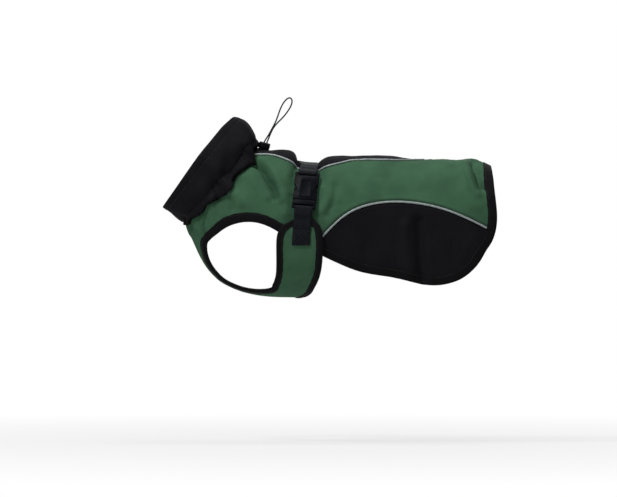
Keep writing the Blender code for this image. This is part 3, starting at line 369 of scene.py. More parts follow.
def skin(run, turn, high=0.0):
    run, turn = np.broadcast_arrays(np.asarray(run, float), np.asarray(turn, float))
    run, turn = run.ravel(), turn.ravel()
    high = np.broadcast_to(high, run.shape)
    return shaped(run, turn) + normal(shaped, run, turn) * high[:, None]


def on_side(points):
    """(run, turn) on the right side for side-view rows of x and z."""
    rows, found = body_at(run_grid), []
    for x, z in points:
        cross = (rows[:, 2] - rows[:, 0]) * (z - rows[:, 1]) - (rows[:, 3] - rows[:, 1]) * (x - rows[:, 0])
        i = np.nonzero(cross[:-1] * cross[1:] <= 0)[0]
        i = i[0] if len(i) else len(run_grid) - 2
        run = run_grid[i] + cross[i] / (cross[i] - cross[i + 1])
        xd, zd, xv, zv, _, mid = body_at(run)[0]
        share = ((x - xd) * (xv - xd) + (z - zd) * (zv - zd)) / ((xv - xd) ** 2 + (zv - zd) ** 2)
        found.append((run, np.interp(share, ring_depth(TURNS, mid), TURNS)))
    return np.array(found)


def on_breast(points):
    """(run, turn) for rows of breast-line x and y."""
    rows, found = body_at(run_grid), []
    for x, y in points:
        run = np.interp(x, rows[:120, 2], run_grid[:120])
        low = np.linspace(math.pi, math.pi - 1.3, 200)
        out = base(np.full(200, run), low)[:, 1]
        found.append((run, np.interp(y, out, low)))
    return np.array(found)


def on_back(points):
    """(run, turn) for rows of x on the spine and width along the cloth."""
    rows, found = body_at(run_grid), []
    for x, wide in points:
        run = np.interp(x, rows[:, 0], run_grid)
        line = base(np.full(200, run), np.linspace(0, 1.4, 200))
        arc = np.concatenate([[0], np.cumsum(np.linalg.norm(np.diff(line, axis=0), axis=1))])
        found.append((run, math.copysign(np.interp(abs(wide), arc, np.linspace(0, 1.4, 200)), wide)))
    return np.array(found)


strap_points = on_side(STRAP_LINE)
strap_points[0] = (np.interp(STRAP_LINE[0][0], body_at(run_grid)[:, 0], run_grid), 0.0)
strap_spline = spline(strap_points[:, 1], strap_points[:, :1])


def strap_run(turn):
    return strap_spline(np.clip(np.abs(wrapped(turn)), 0, strap_points[-1, 1]))[:, 0]


scale_turns = np.linspace(0, 2.1, 22)
scale_rows = np.linalg.norm(slopes(base, strap_run(scale_turns), scale_turns)[0], axis=1)


def strap_scale(turn):
    """Millimetres of cloth for a millimetre of run, beside the strap."""
    return np.interp(np.abs(wrapped(turn)), scale_turns, scale_rows)


def dense(rows, count):
    """More rows along the smooth line through these."""
    rows = np.array(rows, float)
    place = np.concatenate([[0], np.cumsum(np.hypot(*np.diff(rows, axis=0).T) ** 0.7)])
    return spline(place, rows)(np.linspace(0, place[-1], count))


def curve_of(points, count=400):
    """A smooth line of (run, turn) through the rows."""
    flat = points * (1, FLAT_R)
    steps = np.hypot(*np.diff(flat, axis=0).T) ** 0.75
    place = np.concatenate([[0], np.cumsum(steps)])
    return spline(place, points)(np.linspace(0, place[-1], count))


def stations(curve, step=GRAIN):
    """Points evenly along a line of (run, turn)."""
    long = np.linalg.norm(np.diff(base(curve[:, 0], curve[:, 1]), axis=0), axis=1)
    place = np.concatenate([[0], np.cumsum(long)])
    wanted = np.linspace(0, place[-1], int(math.ceil(place[-1] / step)) + 1)
    return np.column_stack([np.interp(wanted, place, curve[:, c]) for c in (0, 1)])


def inset(curve, by):
    """The line moved by this many mm over the cloth, to its left as seen from outside."""
    way = np.gradient(curve, axis=0)
    along, across = slopes(base, curve[:, 0], curve[:, 1])
    out = normal(base, curve[:, 0], curve[:, 1])
    went = unit(along * way[:, :1] + across * way[:, 1:])
    aside = np.cross(out, went) * np.reshape(by, (-1, 1))
    aa, ab, bb = (along * along).sum(1), (along * across).sum(1), (across * across).sum(1)
    ra, rb = (aside * along).sum(1), (aside * across).sum(1)
    det = aa * bb - ab * ab
    return curve + np.column_stack([(ra * bb - rb * ab) / det, (rb * aa - ra * ab) / det])


def crossing(a, b):
    """Where line a last meets line b: (index on a, index on b, point)."""
    pa, da = a[:-1, None], np.diff(a, axis=0)[:, None]
    pb, db = b[None, :-1], np.diff(b, axis=0)[None]
    det = da[..., 0] * db[..., 1] - da[..., 1] * db[..., 0]
    det = np.where(np.abs(det) < 1e-12, 1e-12, det)
    gap = pb - pa
    t = (gap[..., 0] * db[..., 1] - gap[..., 1] * db[..., 0]) / det
    u = (gap[..., 0] * da[..., 1] - gap[..., 1] * da[..., 0]) / det
    hit = np.argwhere((t >= -1e-6) & (t <= 1 + 1e-6) & (u >= -1e-6) & (u <= 1 + 1e-6))
    if not len(hit):
        raise ValueError("two borders that should meet do not")
    i, j = hit[-1]
    return i + t[i, j], j + u[i, j], a[i] + t[i, j] * (a[i + 1] - a[i])


def flat_gap(a, b):
    return math.hypot(a[0] - b[0], (a[1] - b[1]) * FLAT_R)


def outline(lines):
    """The closed outline where each line is cut by the one before and the one after it."""
    cuts = [crossing(a, b) for a, b in zip(lines, lines[1:] + lines[:1])]
    points = []
    for k, line in enumerate(lines):
        start, end = cuts[k - 1][1], cuts[k][0]
        first, last = cuts[k - 1][2], cuts[k][2]
        points.append(first)
        for i in range(len(line)):
            if start < i < end and min(flat_gap(line[i], first), flat_gap(line[i], last)) > 0.8:
                points.append(line[i])
    return np.array(points)


def inside(points, loop):
    found = []
    ax, ay = loop[:, 0], loop[:, 1]
    bx, by = np.roll(ax, -1), np.roll(ay, -1)
    for part in np.array_split(points, max(1, len(points) // 2000)):
        x, y = part[:, :1], part[:, 1:]
        spans = (ay > y) != (by > y)
        cut = ax + (y - ay) * (bx - ax) / np.where(by == ay, 1e-12, by - ay)
        found.append((spans & (x < cut)).sum(1) % 2 == 1)
    return np.concatenate(found)


def tree_of(points):
    tree = KDTree(len(points))
    for i, p in enumerate(points):
        tree.insert((*p, 0.0)[:3], i)
    tree.balance()
    return tree


def nearest(points, tree):
    """(index, distance) of the tree's point nearest to each of these."""
    found = [tree.find((*p, 0.0)[:3])[1:] for p in points]
    return np.array([f[0] for f in found]), np.array([f[1] for f in found])


def rows_over(low_turn, high_turn, run_step):
    """Even rows of points over the cloth, each shifted by half a step from the last."""
    points = []
    for k, run in enumerate(np.arange(-7.0, RUN_MAX, run_step)):
        turns = np.linspace(low_turn, high_turn, 160)
        line = base(np.full(160, run), turns)
        arc = np.concatenate([[0], np.cumsum(np.linalg.norm(np.diff(line, axis=0), axis=1))])
        wanted = np.arange(arc[-1] / 2 % GRAIN + (k % 2) * GRAIN / 2, arc[-1], GRAIN)
        points += [(run, t) for t in np.interp(wanted, arc, turns)]
    return np.array(points)


arc_runs, arc_turns = np.arange(-12, RUN_MAX + 6, 4.0), np.linspace(0, 2 * math.pi, 241)
arc_rows = []
for arc_run in arc_runs:
    ring = base(np.full(241, arc_run), arc_turns)
    arc_rows.append(np.concatenate([[0], np.cumsum(np.linalg.norm(np.diff(ring, axis=0), axis=1))]))
arc_rows = np.array(arc_rows)


def arc(run, turn):
    """Millimetres round the body from the spine."""
    i = np.clip((run - arc_runs[0]) / 4.0, 0, len(arc_runs) - 1.001)
    j = np.clip(np.abs(turn) / arc_turns[1], 0, 239.999)
    a, b, p, q = i.astype(int), j.astype(int), i % 1, j % 1
    low = arc_rows[a, b] * (1 - q) + arc_rows[a, b + 1] * q
    high = arc_rows[a + 1, b] * (1 - q) + arc_rows[a + 1, b + 1] * q
    return np.sign(turn) * (low * (1 - p) + high * p)


def length_along(mid_turn):
    """Millimetres of cloth from the neck seam for each run, at this turn."""
    line = base(arc_runs, np.full(len(arc_runs), mid_turn))
    return np.concatenate([[0], np.cumsum(np.linalg.norm(np.diff(line, axis=0), axis=1))])


def new_object(name, points_mm, faces, stuffs, indices=None, uv=None, smooth=True):
    mesh = bpy.data.meshes.new(name)
    mesh.from_pydata([tuple(p) for p in np.asarray(points_mm, float) * MM], [], [tuple(f) for f in faces])
    for stuff in stuffs:
        mesh.materials.append(stuff)
    if indices is not None:
        mesh.polygons.foreach_set("material_index", indices)
    mesh.polygons.foreach_set("use_smooth", [smooth] * len(mesh.polygons))
    if uv is not None:
        layer = mesh.uv_layers.new(name="cloth")
        corner = np.zeros(len(mesh.loops), int)
        mesh.loops.foreach_get("vertex_index", corner)
        layer.data.foreach_set("uv", (np.asarray(uv)[corner] * MM).astype(np.float32).ravel())
    mesh.update()
    thing = bpy.data.objects.new(name, mesh)
    bpy.context.scene.collection.objects.link(thing)
    return thing


def outward(thing):
    """Turns the closed piece's faces outwards."""
    shape = bmesh.new()
    shape.from_mesh(thing.data)
    bmesh.ops.recalc_face_normals(shape, faces=shape.faces)
    if shape.calc_volume(signed=True) < 0:
        bmesh.ops.reverse_faces(shape, faces=shape.faces)
    shape.to_mesh(thing.data)
    shape.free()
    return thing


def cloth(name, borders, low_turn, high_turn, stuff, lift=None, run_step=GRAIN, uv_turn=0.8):
    """A lined panel. Borders are (kind, line): pipe, bound, neck or a plain seam."""
    lines = [line for _, line in borders]
    loop = outline(lines) * (1, FLAT_R)
    inner = rows_over(low_turn, high_turn, run_step) * (1, FLAT_R)
    inner = inner[inside(inner, loop)]
    _, away = nearest(inner, tree_of(loop))
    inner = inner[away > 0.62 * GRAIN]
    points = [Vector(p) for p in np.vstack([loop, inner])]
    verts, _, faces, *_ = delaunay_2d_cdt(points, [], [list(range(len(loop)))], 1, 1e-6)
    flat = np.array([tuple(v) for v in verts])
    run, turn = flat[:, 0], flat[:, 1] / FLAT_R
    place = base(run, turn)
    up = np.zeros(len(run)) if lift is None else lift(run, turn)
    sewn = np.full(len(run), 60.0)
    for kind in ("pipe", "neck", "bound", "seam"):
        edges = [stations(line, 1.0) for k, line in borders if k == kind]
        if not edges:
            continue
        edge = np.concatenate(edges)
        on_edge = base(edge[:, 0], edge[:, 1])
        index, far = nearest(place, tree_of(on_edge))
        if kind == "pipe":
            up += 0.5 * np.exp(-(((far - 4.6) / 2.4) ** 2)) - 1.5 * np.exp(-((far / 1.5) ** 2))
            up += 0.26 * np.sin(index / 1.35 + 1.3 * np.sin(index / 21)) * np.exp(-far / 5.5)
        if kind == "neck":
            up -= 0.5 * np.exp(-((far / 2.0) ** 2))
        if kind == "bound":
            up += 0.22 * np.sin(index / 1.6 + 1.7 * np.sin(index / 17)) * np.exp(-far / 9.0)
        if kind == "seam":
            up -= 1.1 * np.exp(-((far / 1.6) ** 2)) * smoothstep((run - seam_run(turn)) / 9)
            up += 0.24 * np.sin(index / 1.3) * np.exp(-far / 5.0)
        if kind in ("pipe", "seam"):
            sewn = np.minimum(sewn, far)
    cloth_face, out = shaped(run, turn), normal(shaped, run, turn)
    outer, lining = cloth_face + out * up[:, None], cloth_face + out * (up - CLOTH)[:, None]
    n, edges = len(run), set()
    for a, b, c in faces:
        edges |= {(a, b), (b, c), (c, a)}
    rim = [e for e in edges if (e[1], e[0]) not in edges]
    tris = [tuple(f) for f in faces] + [(c + n, b + n, a + n) for a, b, c in faces]
    tris += [(b, a, a + n, b + n) for a, b in rim]
    indices = [0] * len(faces) + [1] * len(faces) + [0] * len(rim)
    along = np.interp(run, arc_runs, length_along(uv_turn))
    uv = np.column_stack([along, arc(run, turn)])
    thing = new_object(name, np.vstack([outer, lining]), tris, [stuff, fleece], indices, np.vstack([uv, uv]))
    mark = thing.data.attributes.new("seam_mm", "FLOAT", "POINT")
    mark.data.foreach_set("value", np.concatenate([sewn, sewn]).astype(np.float32))
    return outward(thing)


def swept(name, rows, stuff, along=None, ends=True):
    """A closed piece swept through rows of section points."""
    count, size, _ = rows.shape
    faces = [
        (i * size + j, i * size + (j + 1) % size, (i + 1) * size + (j + 1) % size, (i + 1) * size + j)
        for i in range(count - 1)
        for j in range(size)
    ]
    if ends:
        faces += [tuple(range(size))[::-1], tuple((count - 1) * size + j for j in range(size))]
    if along is None:
        middle = rows.mean(axis=1)
        along = np.concatenate([[0], np.cumsum(np.linalg.norm(np.diff(middle, axis=0), axis=1))])
    steps = np.linalg.norm(rows - np.roll(rows, 1, axis=1), axis=2).mean(axis=0)
    around = np.cumsum(steps) - steps[0]
    uv = np.stack(np.meshgrid(along, around, indexing="ij"), axis=-1).reshape(-1, 2)
    return outward(new_object(name, rows.reshape(-1, 3), faces, [stuff], uv=uv))


def tape_section(wide):
    """Folded tape from its upper edge round the cloth's edge to its lower one: (over the cloth, height)."""
    upper = [(wide, 0.55), (wide - 0.25, 1.0), (wide - 1.2, 1.05), (wide - 2.2, 0.82), (wide * 0.62, 1.2),
             (wide * 0.35, 1.32), (1.2, 1.25), (-0.2, 1.0), (-1.15, 0.3), (-1.5, -0.85), (-1.15, -2.0),
             (-0.2, -2.75), (1.2, -3.0), (wide * 0.6, -3.0), (wide - 0.25, -2.75), (wide, -2.35)]
    inner = [(wide, -2.0), (wide * 0.5, -2.1), (0.4, -2.05), (-0.6, -0.85)]
    inner += [(0.4, 0.35), (wide * 0.5, 0.4), (wide, 0.3)]
    return upper + inner


def binding(name, line, wide, stuff, lift=None, end_wide=None):
    """Tape folded over an edge. The cloth is on the line's left; end_wide is the width at its ends."""
    long = np.linalg.norm(np.diff(base(line[:, 0], line[:, 1]), axis=0), axis=1)
    place = np.concatenate([[0], np.cumsum(long)])
    ends = smoothstep(np.minimum(place, place[-1] - place) / 35)
    wide = np.full(len(line), wide) if end_wide is None else end_wide + (wide - end_wide) * ends
    wave = 0.22 * np.sin(place / 1.9 + 1.5 * np.sin(place / 19)) + 0.15 * np.sin(place / 6.1)
    rows = []
    for by, high in tape_section(wide):
        share = np.clip(by / wide, 0, 1)
        moved = inset(line, by + wave * share)
        up = np.zeros(len(line)) if lift is None else lift(moved[:, 0], moved[:, 1])
        up = up + 0.16 * np.sin(place / 1.55 + 2.0 * np.sin(place / 23)) * np.exp(-(((share - 0.75) / 0.3) ** 2))
        rows.append(skin(moved[:, 0], moved[:, 1], up + high))
    return swept(name, np.stack(rows, axis=1), stuff, place)


def piping(name, line, side):
    """Cord in a silver sleeve, lying in the seam."""
    place = skin(line[:, 0], line[:, 1] * side, 0.25)
    out = normal(shaped, line[:, 0], line[:, 1] * side)
    way = unit(np.gradient(place, axis=0))
    aside = unit(np.cross(way, out))
    out = np.cross(aside, way)
    long = np.concatenate([[0], np.cumsum(np.linalg.norm(np.diff(place, axis=0), axis=1))])
    thick = PIPE_R * (1 + 0.05 * np.sin(long / 1.5 + np.sin(long / 11)))
    rows = []
    for k in range(12):
        a = math.pi / 6 * k
        rows.append(place + thick[:, None] * (math.cos(a) * aside + 0.92 * math.sin(a) * out))
    return swept(name, np.stack(rows, axis=1), silver, long)


def between(line, start, end):
    """The part of a line from one place on it to another, both as whole and part steps."""
    inner, steps = line[int(start) + 1 : int(math.ceil(end))], np.arange(len(line))
    ends = [np.array([np.interp(at, steps, line[:, c]) for c in (0, 1)]) for at in (start, end)]
    return np.vstack([ends[0], inner, ends[1]])


def mirrored(line):
    """The line's twin on the other side, run the other way so that its left stays its left."""
    return (line * (1, -1))[::-1]


def round_breast(line):
    return np.column_stack([line[:, 0], 2 * math.pi - line[:, 1]])[::-1]


def stitches(name, points, ups, stuff, pitch=3.1, long=2.3, thick=0.26, start=0.0):
    """A row of lockstitches along the line, each a small rounded bar that dips at both ends."""
    place = np.concatenate([[0], np.cumsum(np.linalg.norm(np.diff(points, axis=0), axis=1))])
    middles = np.arange(start + pitch / 2, place[-1] - pitch / 2, pitch)
    verts, faces = [], []
    for at in middles:
        ends = [
            np.array([np.interp(at + d, place, points[:, c]) for c in range(3)])
            for d in (-long / 2, long / 2)
        ]
        up = unit(np.array([np.interp(at, place, ups[:, c]) for c in range(3)]))
        way = ends[1] - ends[0]
        aside = unit(np.cross(way, up))
        first = len(verts)
        for share, high, fat in ((0.0, -0.25, 0.5), (0.2, 0.1, 1.0), (0.5, 0.2, 1.05), (0.8, 0.1, 1.0), (1.0, -0.25, 0.5)):
            centre = ends[0] + way * share + up * high
            for k in range(5):
                a = 2 * math.pi * k / 5
                verts.append(centre + thick * fat * (math.cos(a) * aside + math.sin(a) * up))
        for r in range(4):
            for k in range(5):
                p, q = first + r * 5 + k, first + r * 5 + (k + 1) % 5
                faces.append((p, q, q + 5, p + 5))
        faces += [tuple(first + k for k in range(5))[::-1], tuple(first + 20 + k for k in range(5))]
    return outward(new_object(name, verts, faces, [stuff]))


def stitch_on_skin(name, line, stuff, high=0.0, **settings):
    """A row of stitches on the cloth along a line of (run, turn)."""
    line = stations(line, 1.0)
    up = high(line[:, 0], line[:, 1]) if callable(high) else high
    face = skin(line[:, 0], line[:, 1], up)
    return stitches(name, face, normal(shaped, line[:, 0], line[:, 1]), stuff, **settings)


def linear(colour):
    """The linear colour that a shader takes, from an sRGB hex value."""
    parts = [int(colour[i : i + 2], 16) / 255 for i in (1, 3, 5)]
    return (*(c / 12.92 if c <= 0.04045 else ((c + 0.055) / 1.055) ** 2.4 for c in parts), 1.0)


def node(tree, kind, inputs=(), **settings):
    """A node with its settings, its sockets set to values or linked to other sockets."""
    made = tree.nodes.new("ShaderNode" + kind)
    for key, value in settings.items():
        setattr(made, key, value)
    for socket, value in dict(inputs).items():
        if isinstance(value, bpy.types.NodeSocket):
            tree.links.new(value, made.inputs[socket])
        else:
            made.inputs[socket].default_value = value
    return made


def new_material(name, **values):
    stuff = bpy.data.materials.new(name)
    stuff.use_nodes = True
    shader = stuff.node_tree.nodes["Principled BSDF"]
    for socket, value in values.items():
        shader.inputs[socket.replace("_", " ")].default_value = value
    return stuff, stuff.node_tree, shader


def times(tree, value, by, plus=0.0):
    return node(tree, "Math", {0: value, 1: by, 2: plus}, operation="MULTIPLY_ADD").outputs[0]


def bands(tree, vector, period_mm, direction):
    """Even threads this many millimetres apart."""
    scale = 2 * math.pi / 20 / (period_mm * MM)
    made = node(tree, "TexWave", {"Vector": vector, "Scale": scale}, bands_direction=direction)
    return made.outputs["Fac"]


def specks(tree, vector, size_mm, detail=2.0, roughness=0.5):
    sockets = {"Vector": vector, "Scale": 1 / (size_mm * MM), "Detail": detail, "Roughness": roughness}
    made = node(tree, "TexNoise", sockets)
    return made.outputs["Fac"]


def blended(tree, share, first, second):
    made = node(tree, "Mix", {0: share, 6: first, 7: second}, data_type="RGBA")
    return made.outputs[2]


def softshell(name, shade, light, dark, sheen):
    """Polyester softshell: a tight plain weave over a membrane, matt, with a faint bloom of sheen, and painted shade
    along its seams.
    """
    stuff, tree, shader = new_material(
        name, Roughness=0.78, Sheen_Weight=sheen, Sheen_Roughness=0.5, Specular_IOR_Level=0.12
    )
    shader.inputs["Sheen Tint"].default_value = linear(light)
    uv = node(tree, "UVMap", uv_map="cloth").outputs["UV"]
    spot = node(tree, "TexCoord").outputs["Object"]
    # threads are 0.3 mm apart on the real cloth, drawn 0.9 mm apart so that they show
    warp, weft = bands(tree, uv, 0.9, "X"), bands(tree, uv, 0.9, "Y")
    weave = node(tree, "Math", {0: warp, 1: weft}, operation="MULTIPLY").outputs[0]
    broad = specks(tree, spot, 34.0, 3.0)
    cloudy = node(tree, "MapRange", {0: broad, 1: 0.35, 2: 0.65}).outputs[0]
    tone = blended(tree, cloudy, linear(dark), linear(shade))
    melange = node(tree, "MapRange", {0: specks(tree, uv, 0.7, 1.0), 1: 0.35, 2: 0.7, 4: 0.55}).outputs[0]
    tone = blended(tree, melange, tone, linear(light))
    threads = node(tree, "MapRange", {0: weave, 3: 0.0, 4: 0.22}).outputs[0]
    tone = blended(tree, threads, tone, linear(light))
    # painted shade: in a narrow band about 2.9 mm from the piped and plain seams, the base colour is darkened by up to
    # 35% towards the dark tone; the same band also sinks the bump
    seam = node(tree, "Attribute", attribute_name="seam_mm").outputs["Fac"]
    off = times(tree, node(tree, "Math", {0: seam, 1: 2.9}, operation="SUBTRACT").outputs[0], 1.6)
    square = node(tree, "Math", {0: off, 1: off}, operation="MULTIPLY").outputs[0]
    seam_groove_and_shade = node(tree, "Math", {0: 2.718, 1: times(tree, square, -1.0)}, operation="POWER").outputs[0]
    tree.links.new(blended(tree, times(tree, seam_groove_and_shade, 0.35), tone, linear(dark)), shader.inputs["Base Color"])
    crumple = specks(tree, spot, 7.0, 4.0, 0.6)
    height = times(tree, crumple, 0.9, times(tree, weave, 0.3))
    height = node(tree, "Math", {0: height, 1: times(tree, seam_groove_and_shade, 0.5)}, operation="SUBTRACT").outputs[0]
    bump = node(tree, "Bump", {"Strength": 0.5, "Distance": 0.5 * MM, "Height": height})
    tree.links.new(bump.outputs[0], shader.inputs["Normal"])
    return stuff


def fleece_lining():
    """Grey micro-fleece bonded inside the softshell: a short dense pile with no gloss."""
    stuff, tree, shader = new_material(
        "polyester_micro_fleece", Roughness=0.95, Sheen_Weight=0.35, Sheen_Roughness=0.6,
        Specular_IOR_Level=0.12,
    )
    spot = node(tree, "TexCoord").outputs["Object"]
    pile, tufts = specks(tree, spot, 0.9, 3.0, 0.7), specks(tree, spot, 4.5, 3.0)
    tone = blended(tree, pile, linear("#8f908e"), linear("#bdbebb"))
    tone = blended(tree, times(tree, tufts, 0.5), tone, linear("#a3a4a2"))
    tree.links.new(tone, shader.inputs["Base Color"])
    height = times(tree, tufts, 1.0, times(tree, pile, 0.6))
    bump = node(tree, "Bump", {"Strength": 0.9, "Distance": 0.8 * MM, "Height": height})
    tree.links.new(bump.outputs[0], shader.inputs["Normal"])
    return stuff


def ribbed_tape():
    """Black polyester grosgrain binding: fine ribs across the tape."""
    stuff, tree, shader = new_material(
        "polyester_grosgrain_tape", Roughness=0.72, Sheen_Weight=0.04, Specular_IOR_Level=0.06
    )
    uv = node(tree, "UVMap", uv_map="cloth").outputs["UV"]
    # ribs are 0.5 mm apart on the real tape, drawn 1.2 mm apart so that they show
    ribs, cross = bands(tree, uv, 1.2, "X"), bands(tree, uv, 0.8, "Y")
    tone = blended(tree, times(tree, ribs, 0.6), linear("#0a0a0c"), linear("#18181b"))
    tree.links.new(tone, shader.inputs["Base Color"])
    height = times(tree, ribs, 0.8, times(tree, cross, 0.2))
    bump = node(tree, "Bump", {"Strength": 0.5, "Distance": 0.25 * MM, "Height": height})
    tree.links.new(bump.outputs[0], shader.inputs["Normal"])
    return stuff


def nylon_webbing():
    """Black woven nylon webbing: weft ribs across, with a faint lengthwise line where the warps pair."""
    stuff, tree, shader = new_material(
        "nylon_webbing", Roughness=0.55, Sheen_Weight=0.04, Specular_IOR_Level=0.08
    )
    uv = node(tree, "UVMap", uv_map="cloth").outputs["UV"]
    # the real weave repeats every 1.1 mm along and 2.1 mm across
    ribs, warps = bands(tree, uv, 1.3, "X"), bands(tree, uv, 2.1, "Y")
    weave = node(tree, "Math", {0: ribs, 1: warps}, operation="MULTIPLY").outputs[0]
    tone = blended(tree, weave, linear("#0a0c10"), linear("#1d2229"))
    tree.links.new(tone, shader.inputs["Base Color"])
    height = times(tree, weave, 1.0, times(tree, specks(tree, uv, 0.6, 1.0), 0.3))
    bump = node(tree, "Bump", {"Strength": 0.7, "Distance": 0.3 * MM, "Height": height})
    tree.links.new(bump.outputs[0], shader.inputs["Normal"])
    return stuff


def silver_sleeve():
    """Glass-bead reflective fabric round the piping: satin silver-grey with a fine sparkle."""
    stuff, tree, shader = new_material("glass_bead_reflective", Metallic=0.2, Roughness=0.5)
    uv = node(tree, "UVMap", uv_map="cloth").outputs["UV"]
    beads = specks(tree, uv, 0.5, 2.0, 0.7)
    tone = blended(tree, beads, linear("#7b8685"), linear("#a9b3b2"))
    tree.links.new(tone, shader.inputs["Base Color"])
    bump = node(tree, "Bump", {"Strength": 0.25, "Distance": 0.1 * MM, "Height": beads})
    tree.links.new(bump.outputs[0], shader.inputs["Normal"])
    return stuff


def acetal_black():
    """Injection-moulded acetal: black, with a fine spark-eroded grain and soft highlights."""
    stuff, tree, shader = new_material("acetal_black", Roughness=0.4, IOR=1.48, Specular_IOR_Level=0.07)
    shader.inputs["Base Color"].default_value = linear("#0a0c12")
    spot = node(tree, "TexCoord").outputs["Object"]
    grain, flow = specks(tree, spot, 0.45, 2.0, 0.6), specks(tree, spot, 9.0)
    rough = node(tree, "MapRange", {0: flow, 3: 0.34, 4: 0.5}).outputs[0]
    tree.links.new(rough, shader.inputs["Roughness"])
    bump = node(tree, "Bump", {"Strength": 0.35, "Distance": 0.08 * MM, "Height": grain})
    tree.links.new(bump.outputs[0], shader.inputs["Normal"])
    return stuff


def braided_elastic():
    """Round elastic cord under a braided polyester sleeve, dark grey with lighter picks."""
    stuff, tree, shader = new_material(
        "braided_elastic_cord", Roughness=0.7, Sheen_Weight=0.1, Specular_IOR_Level=0.12
    )
    spot = node(tree, "TexCoord").outputs["Object"]
    a = node(tree, "Mapping", {"Vector": spot, "Rotation": (0, math.radians(40), 0)}).outputs[0]
    strands = {0: bands(tree, a, 1.1, "X"), 1: bands(tree, a, 1.1, "Z")}
    picks = node(tree, "Math", strands, operation="MULTIPLY").outputs[0]
    tone = blended(tree, picks, linear("#2b2d30"), linear("#5d6164"))
    tree.links.new(tone, shader.inputs["Base Color"])
    bump = node(tree, "Bump", {"Strength": 0.6, "Distance": 0.15 * MM, "Height": picks})
    tree.links.new(bump.outputs[0], shader.inputs["Normal"])
    return stuff


def spun_thread(name, colour):
    """Bonded polyester sewing thread with a slight lustre."""
    stuff, tree, shader = new_material(name, Roughness=0.5)
    spot = node(tree, "TexCoord").outputs["Object"]
    twist = specks(tree, spot, 0.6, 1.0)
    dark = tuple(0.6 * c for c in linear(colour)[:3]) + (1.0,)
    tree.links.new(blended(tree, twist, dark, linear(colour)), shader.inputs["Base Color"])
    return stuff


green = softshell("polyester_softshell_green", "#3b5f46", "#4a7054", "#2f4f3b", 0.12)
black = softshell("polyester_softshell_black", "#0f0d12", "#1a181e", "#09080b", 0.035)
fleece = fleece_lining()
tape = ribbed_tape()
nylon = nylon_webbing()
silver = silver_sleeve()
plastic = acetal_black()
elastic = braided_elastic()
black_thread = spun_thread("polyester_thread_black", "#1c1c20")
green_thread = spun_thread("polyester_thread_green", "#35523f")

# Borders on the right side, each a line of (run, turn)
spine_line = stations(curve_of(on_back(SPINE), 900))
flank_line = stations(on_side(dense(FLANK, 300)))
tail_top = (float(np.interp(TAIL_TOP_X, body_at(run_grid)[:, 0], run_grid)), 0.0)
lower_rows = np.vstack([on_side(dense(LOWER_EDGE, 120)), [tail_top]])
lower_rows = np.vstack([lower_rows, mirrored(lower_rows)[1:9]])
lower_curve = curve_of(lower_rows, 2400)
past_spine = int(np.argmax(lower_curve[:, 1] < 0))
lower_line = stations(lower_curve[: past_spine + 1])
lower_line[-1, 1] = 0.0
past_tail = np.vstack([lower_line, (lower_line * (1, -1))[-2:-8:-1]])
chest_seam = stations(on_side(dense(CHEST_SEAM, 60)))
neck_turns = 2 * math.pi / 420 * np.arange(-90, 368)
neck_edge = np.column_stack([seam_run(neck_turns) + 0.1, neck_turns])[::-1]
chest_rows = [on_side(CHEST_FRONT), on_breast(CHEST_STRIP), on_side(dense(WING, 60)), on_breast(BELLY_REAR)]
chest_rows = np.vstack(chest_rows)
chest_rows = np.vstack([chest_rows, round_breast(chest_rows)[1:3]])
chest_curve = curve_of(chest_rows, 3000)
past_breast = int(np.nonzero(chest_curve[:, 1] > math.pi)[0][0])
chest_line = stations(chest_curve[: past_breast + 1])
chest_line[-1, 1] = math.pi
chest_edge = np.vstack([chest_line, round_breast(chest_line)[1:]])
centre_line = np.array([(tail_top[0] - back, 0.0) for back in np.arange(112, -10, -2.0)])


def wing_lift(run, turn):
    """Height of the chest panel over the body: sewn at the breast, over the panels at the wings."""
    z = base(run, turn)[:, 2]
    return WING_LIFT * smoothstep((z + 172) / 32) * smoothstep((run - 42) / 14)


PIPE_SEAT = 0.6
pieces = {}
left_border = inset(spine_line, -PIPE_SEAT) * (1, -1)
right_border = inset(spine_line, -PIPE_SEAT)[::-1]
spine_borders = [("pipe", left_border), ("pipe", right_border), ("neck", neck_edge[neck_edge[:, 1] < 1.1])]
pieces["spine_panel"] = cloth("spine_cloth", spine_borders, -1.0, 1.0, black, uv_turn=0.0)
to_tail = int(np.argmax(lower_line[:, 0] > 200))
neck_cut = crossing(spine_line, neck_edge + (1.0, 0))[0]
tip_cut = crossing(spine_line, centre_line + (0, 2.1 / 70))[0]
spine_pipe = between(spine_line, neck_cut, tip_cut)
front_cut = crossing(flank_line[:60], inset(lower_line, -HEM_TAPE_W - 0.2))[0]
tail_cut = crossing(flank_line, inset(lower_line, -HEM_TAPE_W - 0.2))[0]
flank_pipe = between(flank_line, front_cut, tail_cut)
for side, word in ((1, "right"), (-1, "left")):
    around = [
        ("pipe", inset(spine_line, PIPE_SEAT)),
        ("seam", centre_line + (0, 0.1 / 60)),
        ("bound", past_tail[to_tail:][::-1]),
        ("pipe", inset(flank_line[::-1], PIPE_SEAT)),
        ("bound", lower_line[:to_tail][::-1]),
        ("seam", inset(chest_seam[::-1], 0.1)),
        ("neck", neck_edge),
    ]
    flank = [("pipe", inset(flank_line, PIPE_SEAT)), ("bound", lower_line[::-1])]
    span = (0.0, 2.6)
    if side < 0:
        around = [(kind, mirrored(line)) for kind, line in around[::-1]]
        flank = [(kind, mirrored(line)) for kind, line in flank[::-1]]
        span = (-2.6, 0.0)
    pieces[f"side_panel_{word}"] = cloth(f"side_cloth_{word}", around, *span, green)
    pieces[f"flank_panel_{word}"] = cloth(f"flank_cloth_{word}", flank, *span, black, uv_turn=1.6)
    pieces[f"spine_piping_{word}"] = piping(f"spine_silver_cord_{word}", spine_pipe, side)
    pieces[f"flank_piping_{word}"] = piping(f"flank_silver_cord_{word}", flank_pipe, side)
chest = [
    ("seam", inset(chest_seam, 0.1)),
    ("bound", chest_edge),
    ("seam", inset(round_breast(chest_seam), 0.1)),
    ("neck", neck_edge[neck_edge[:, 1] > 1.5]),
]
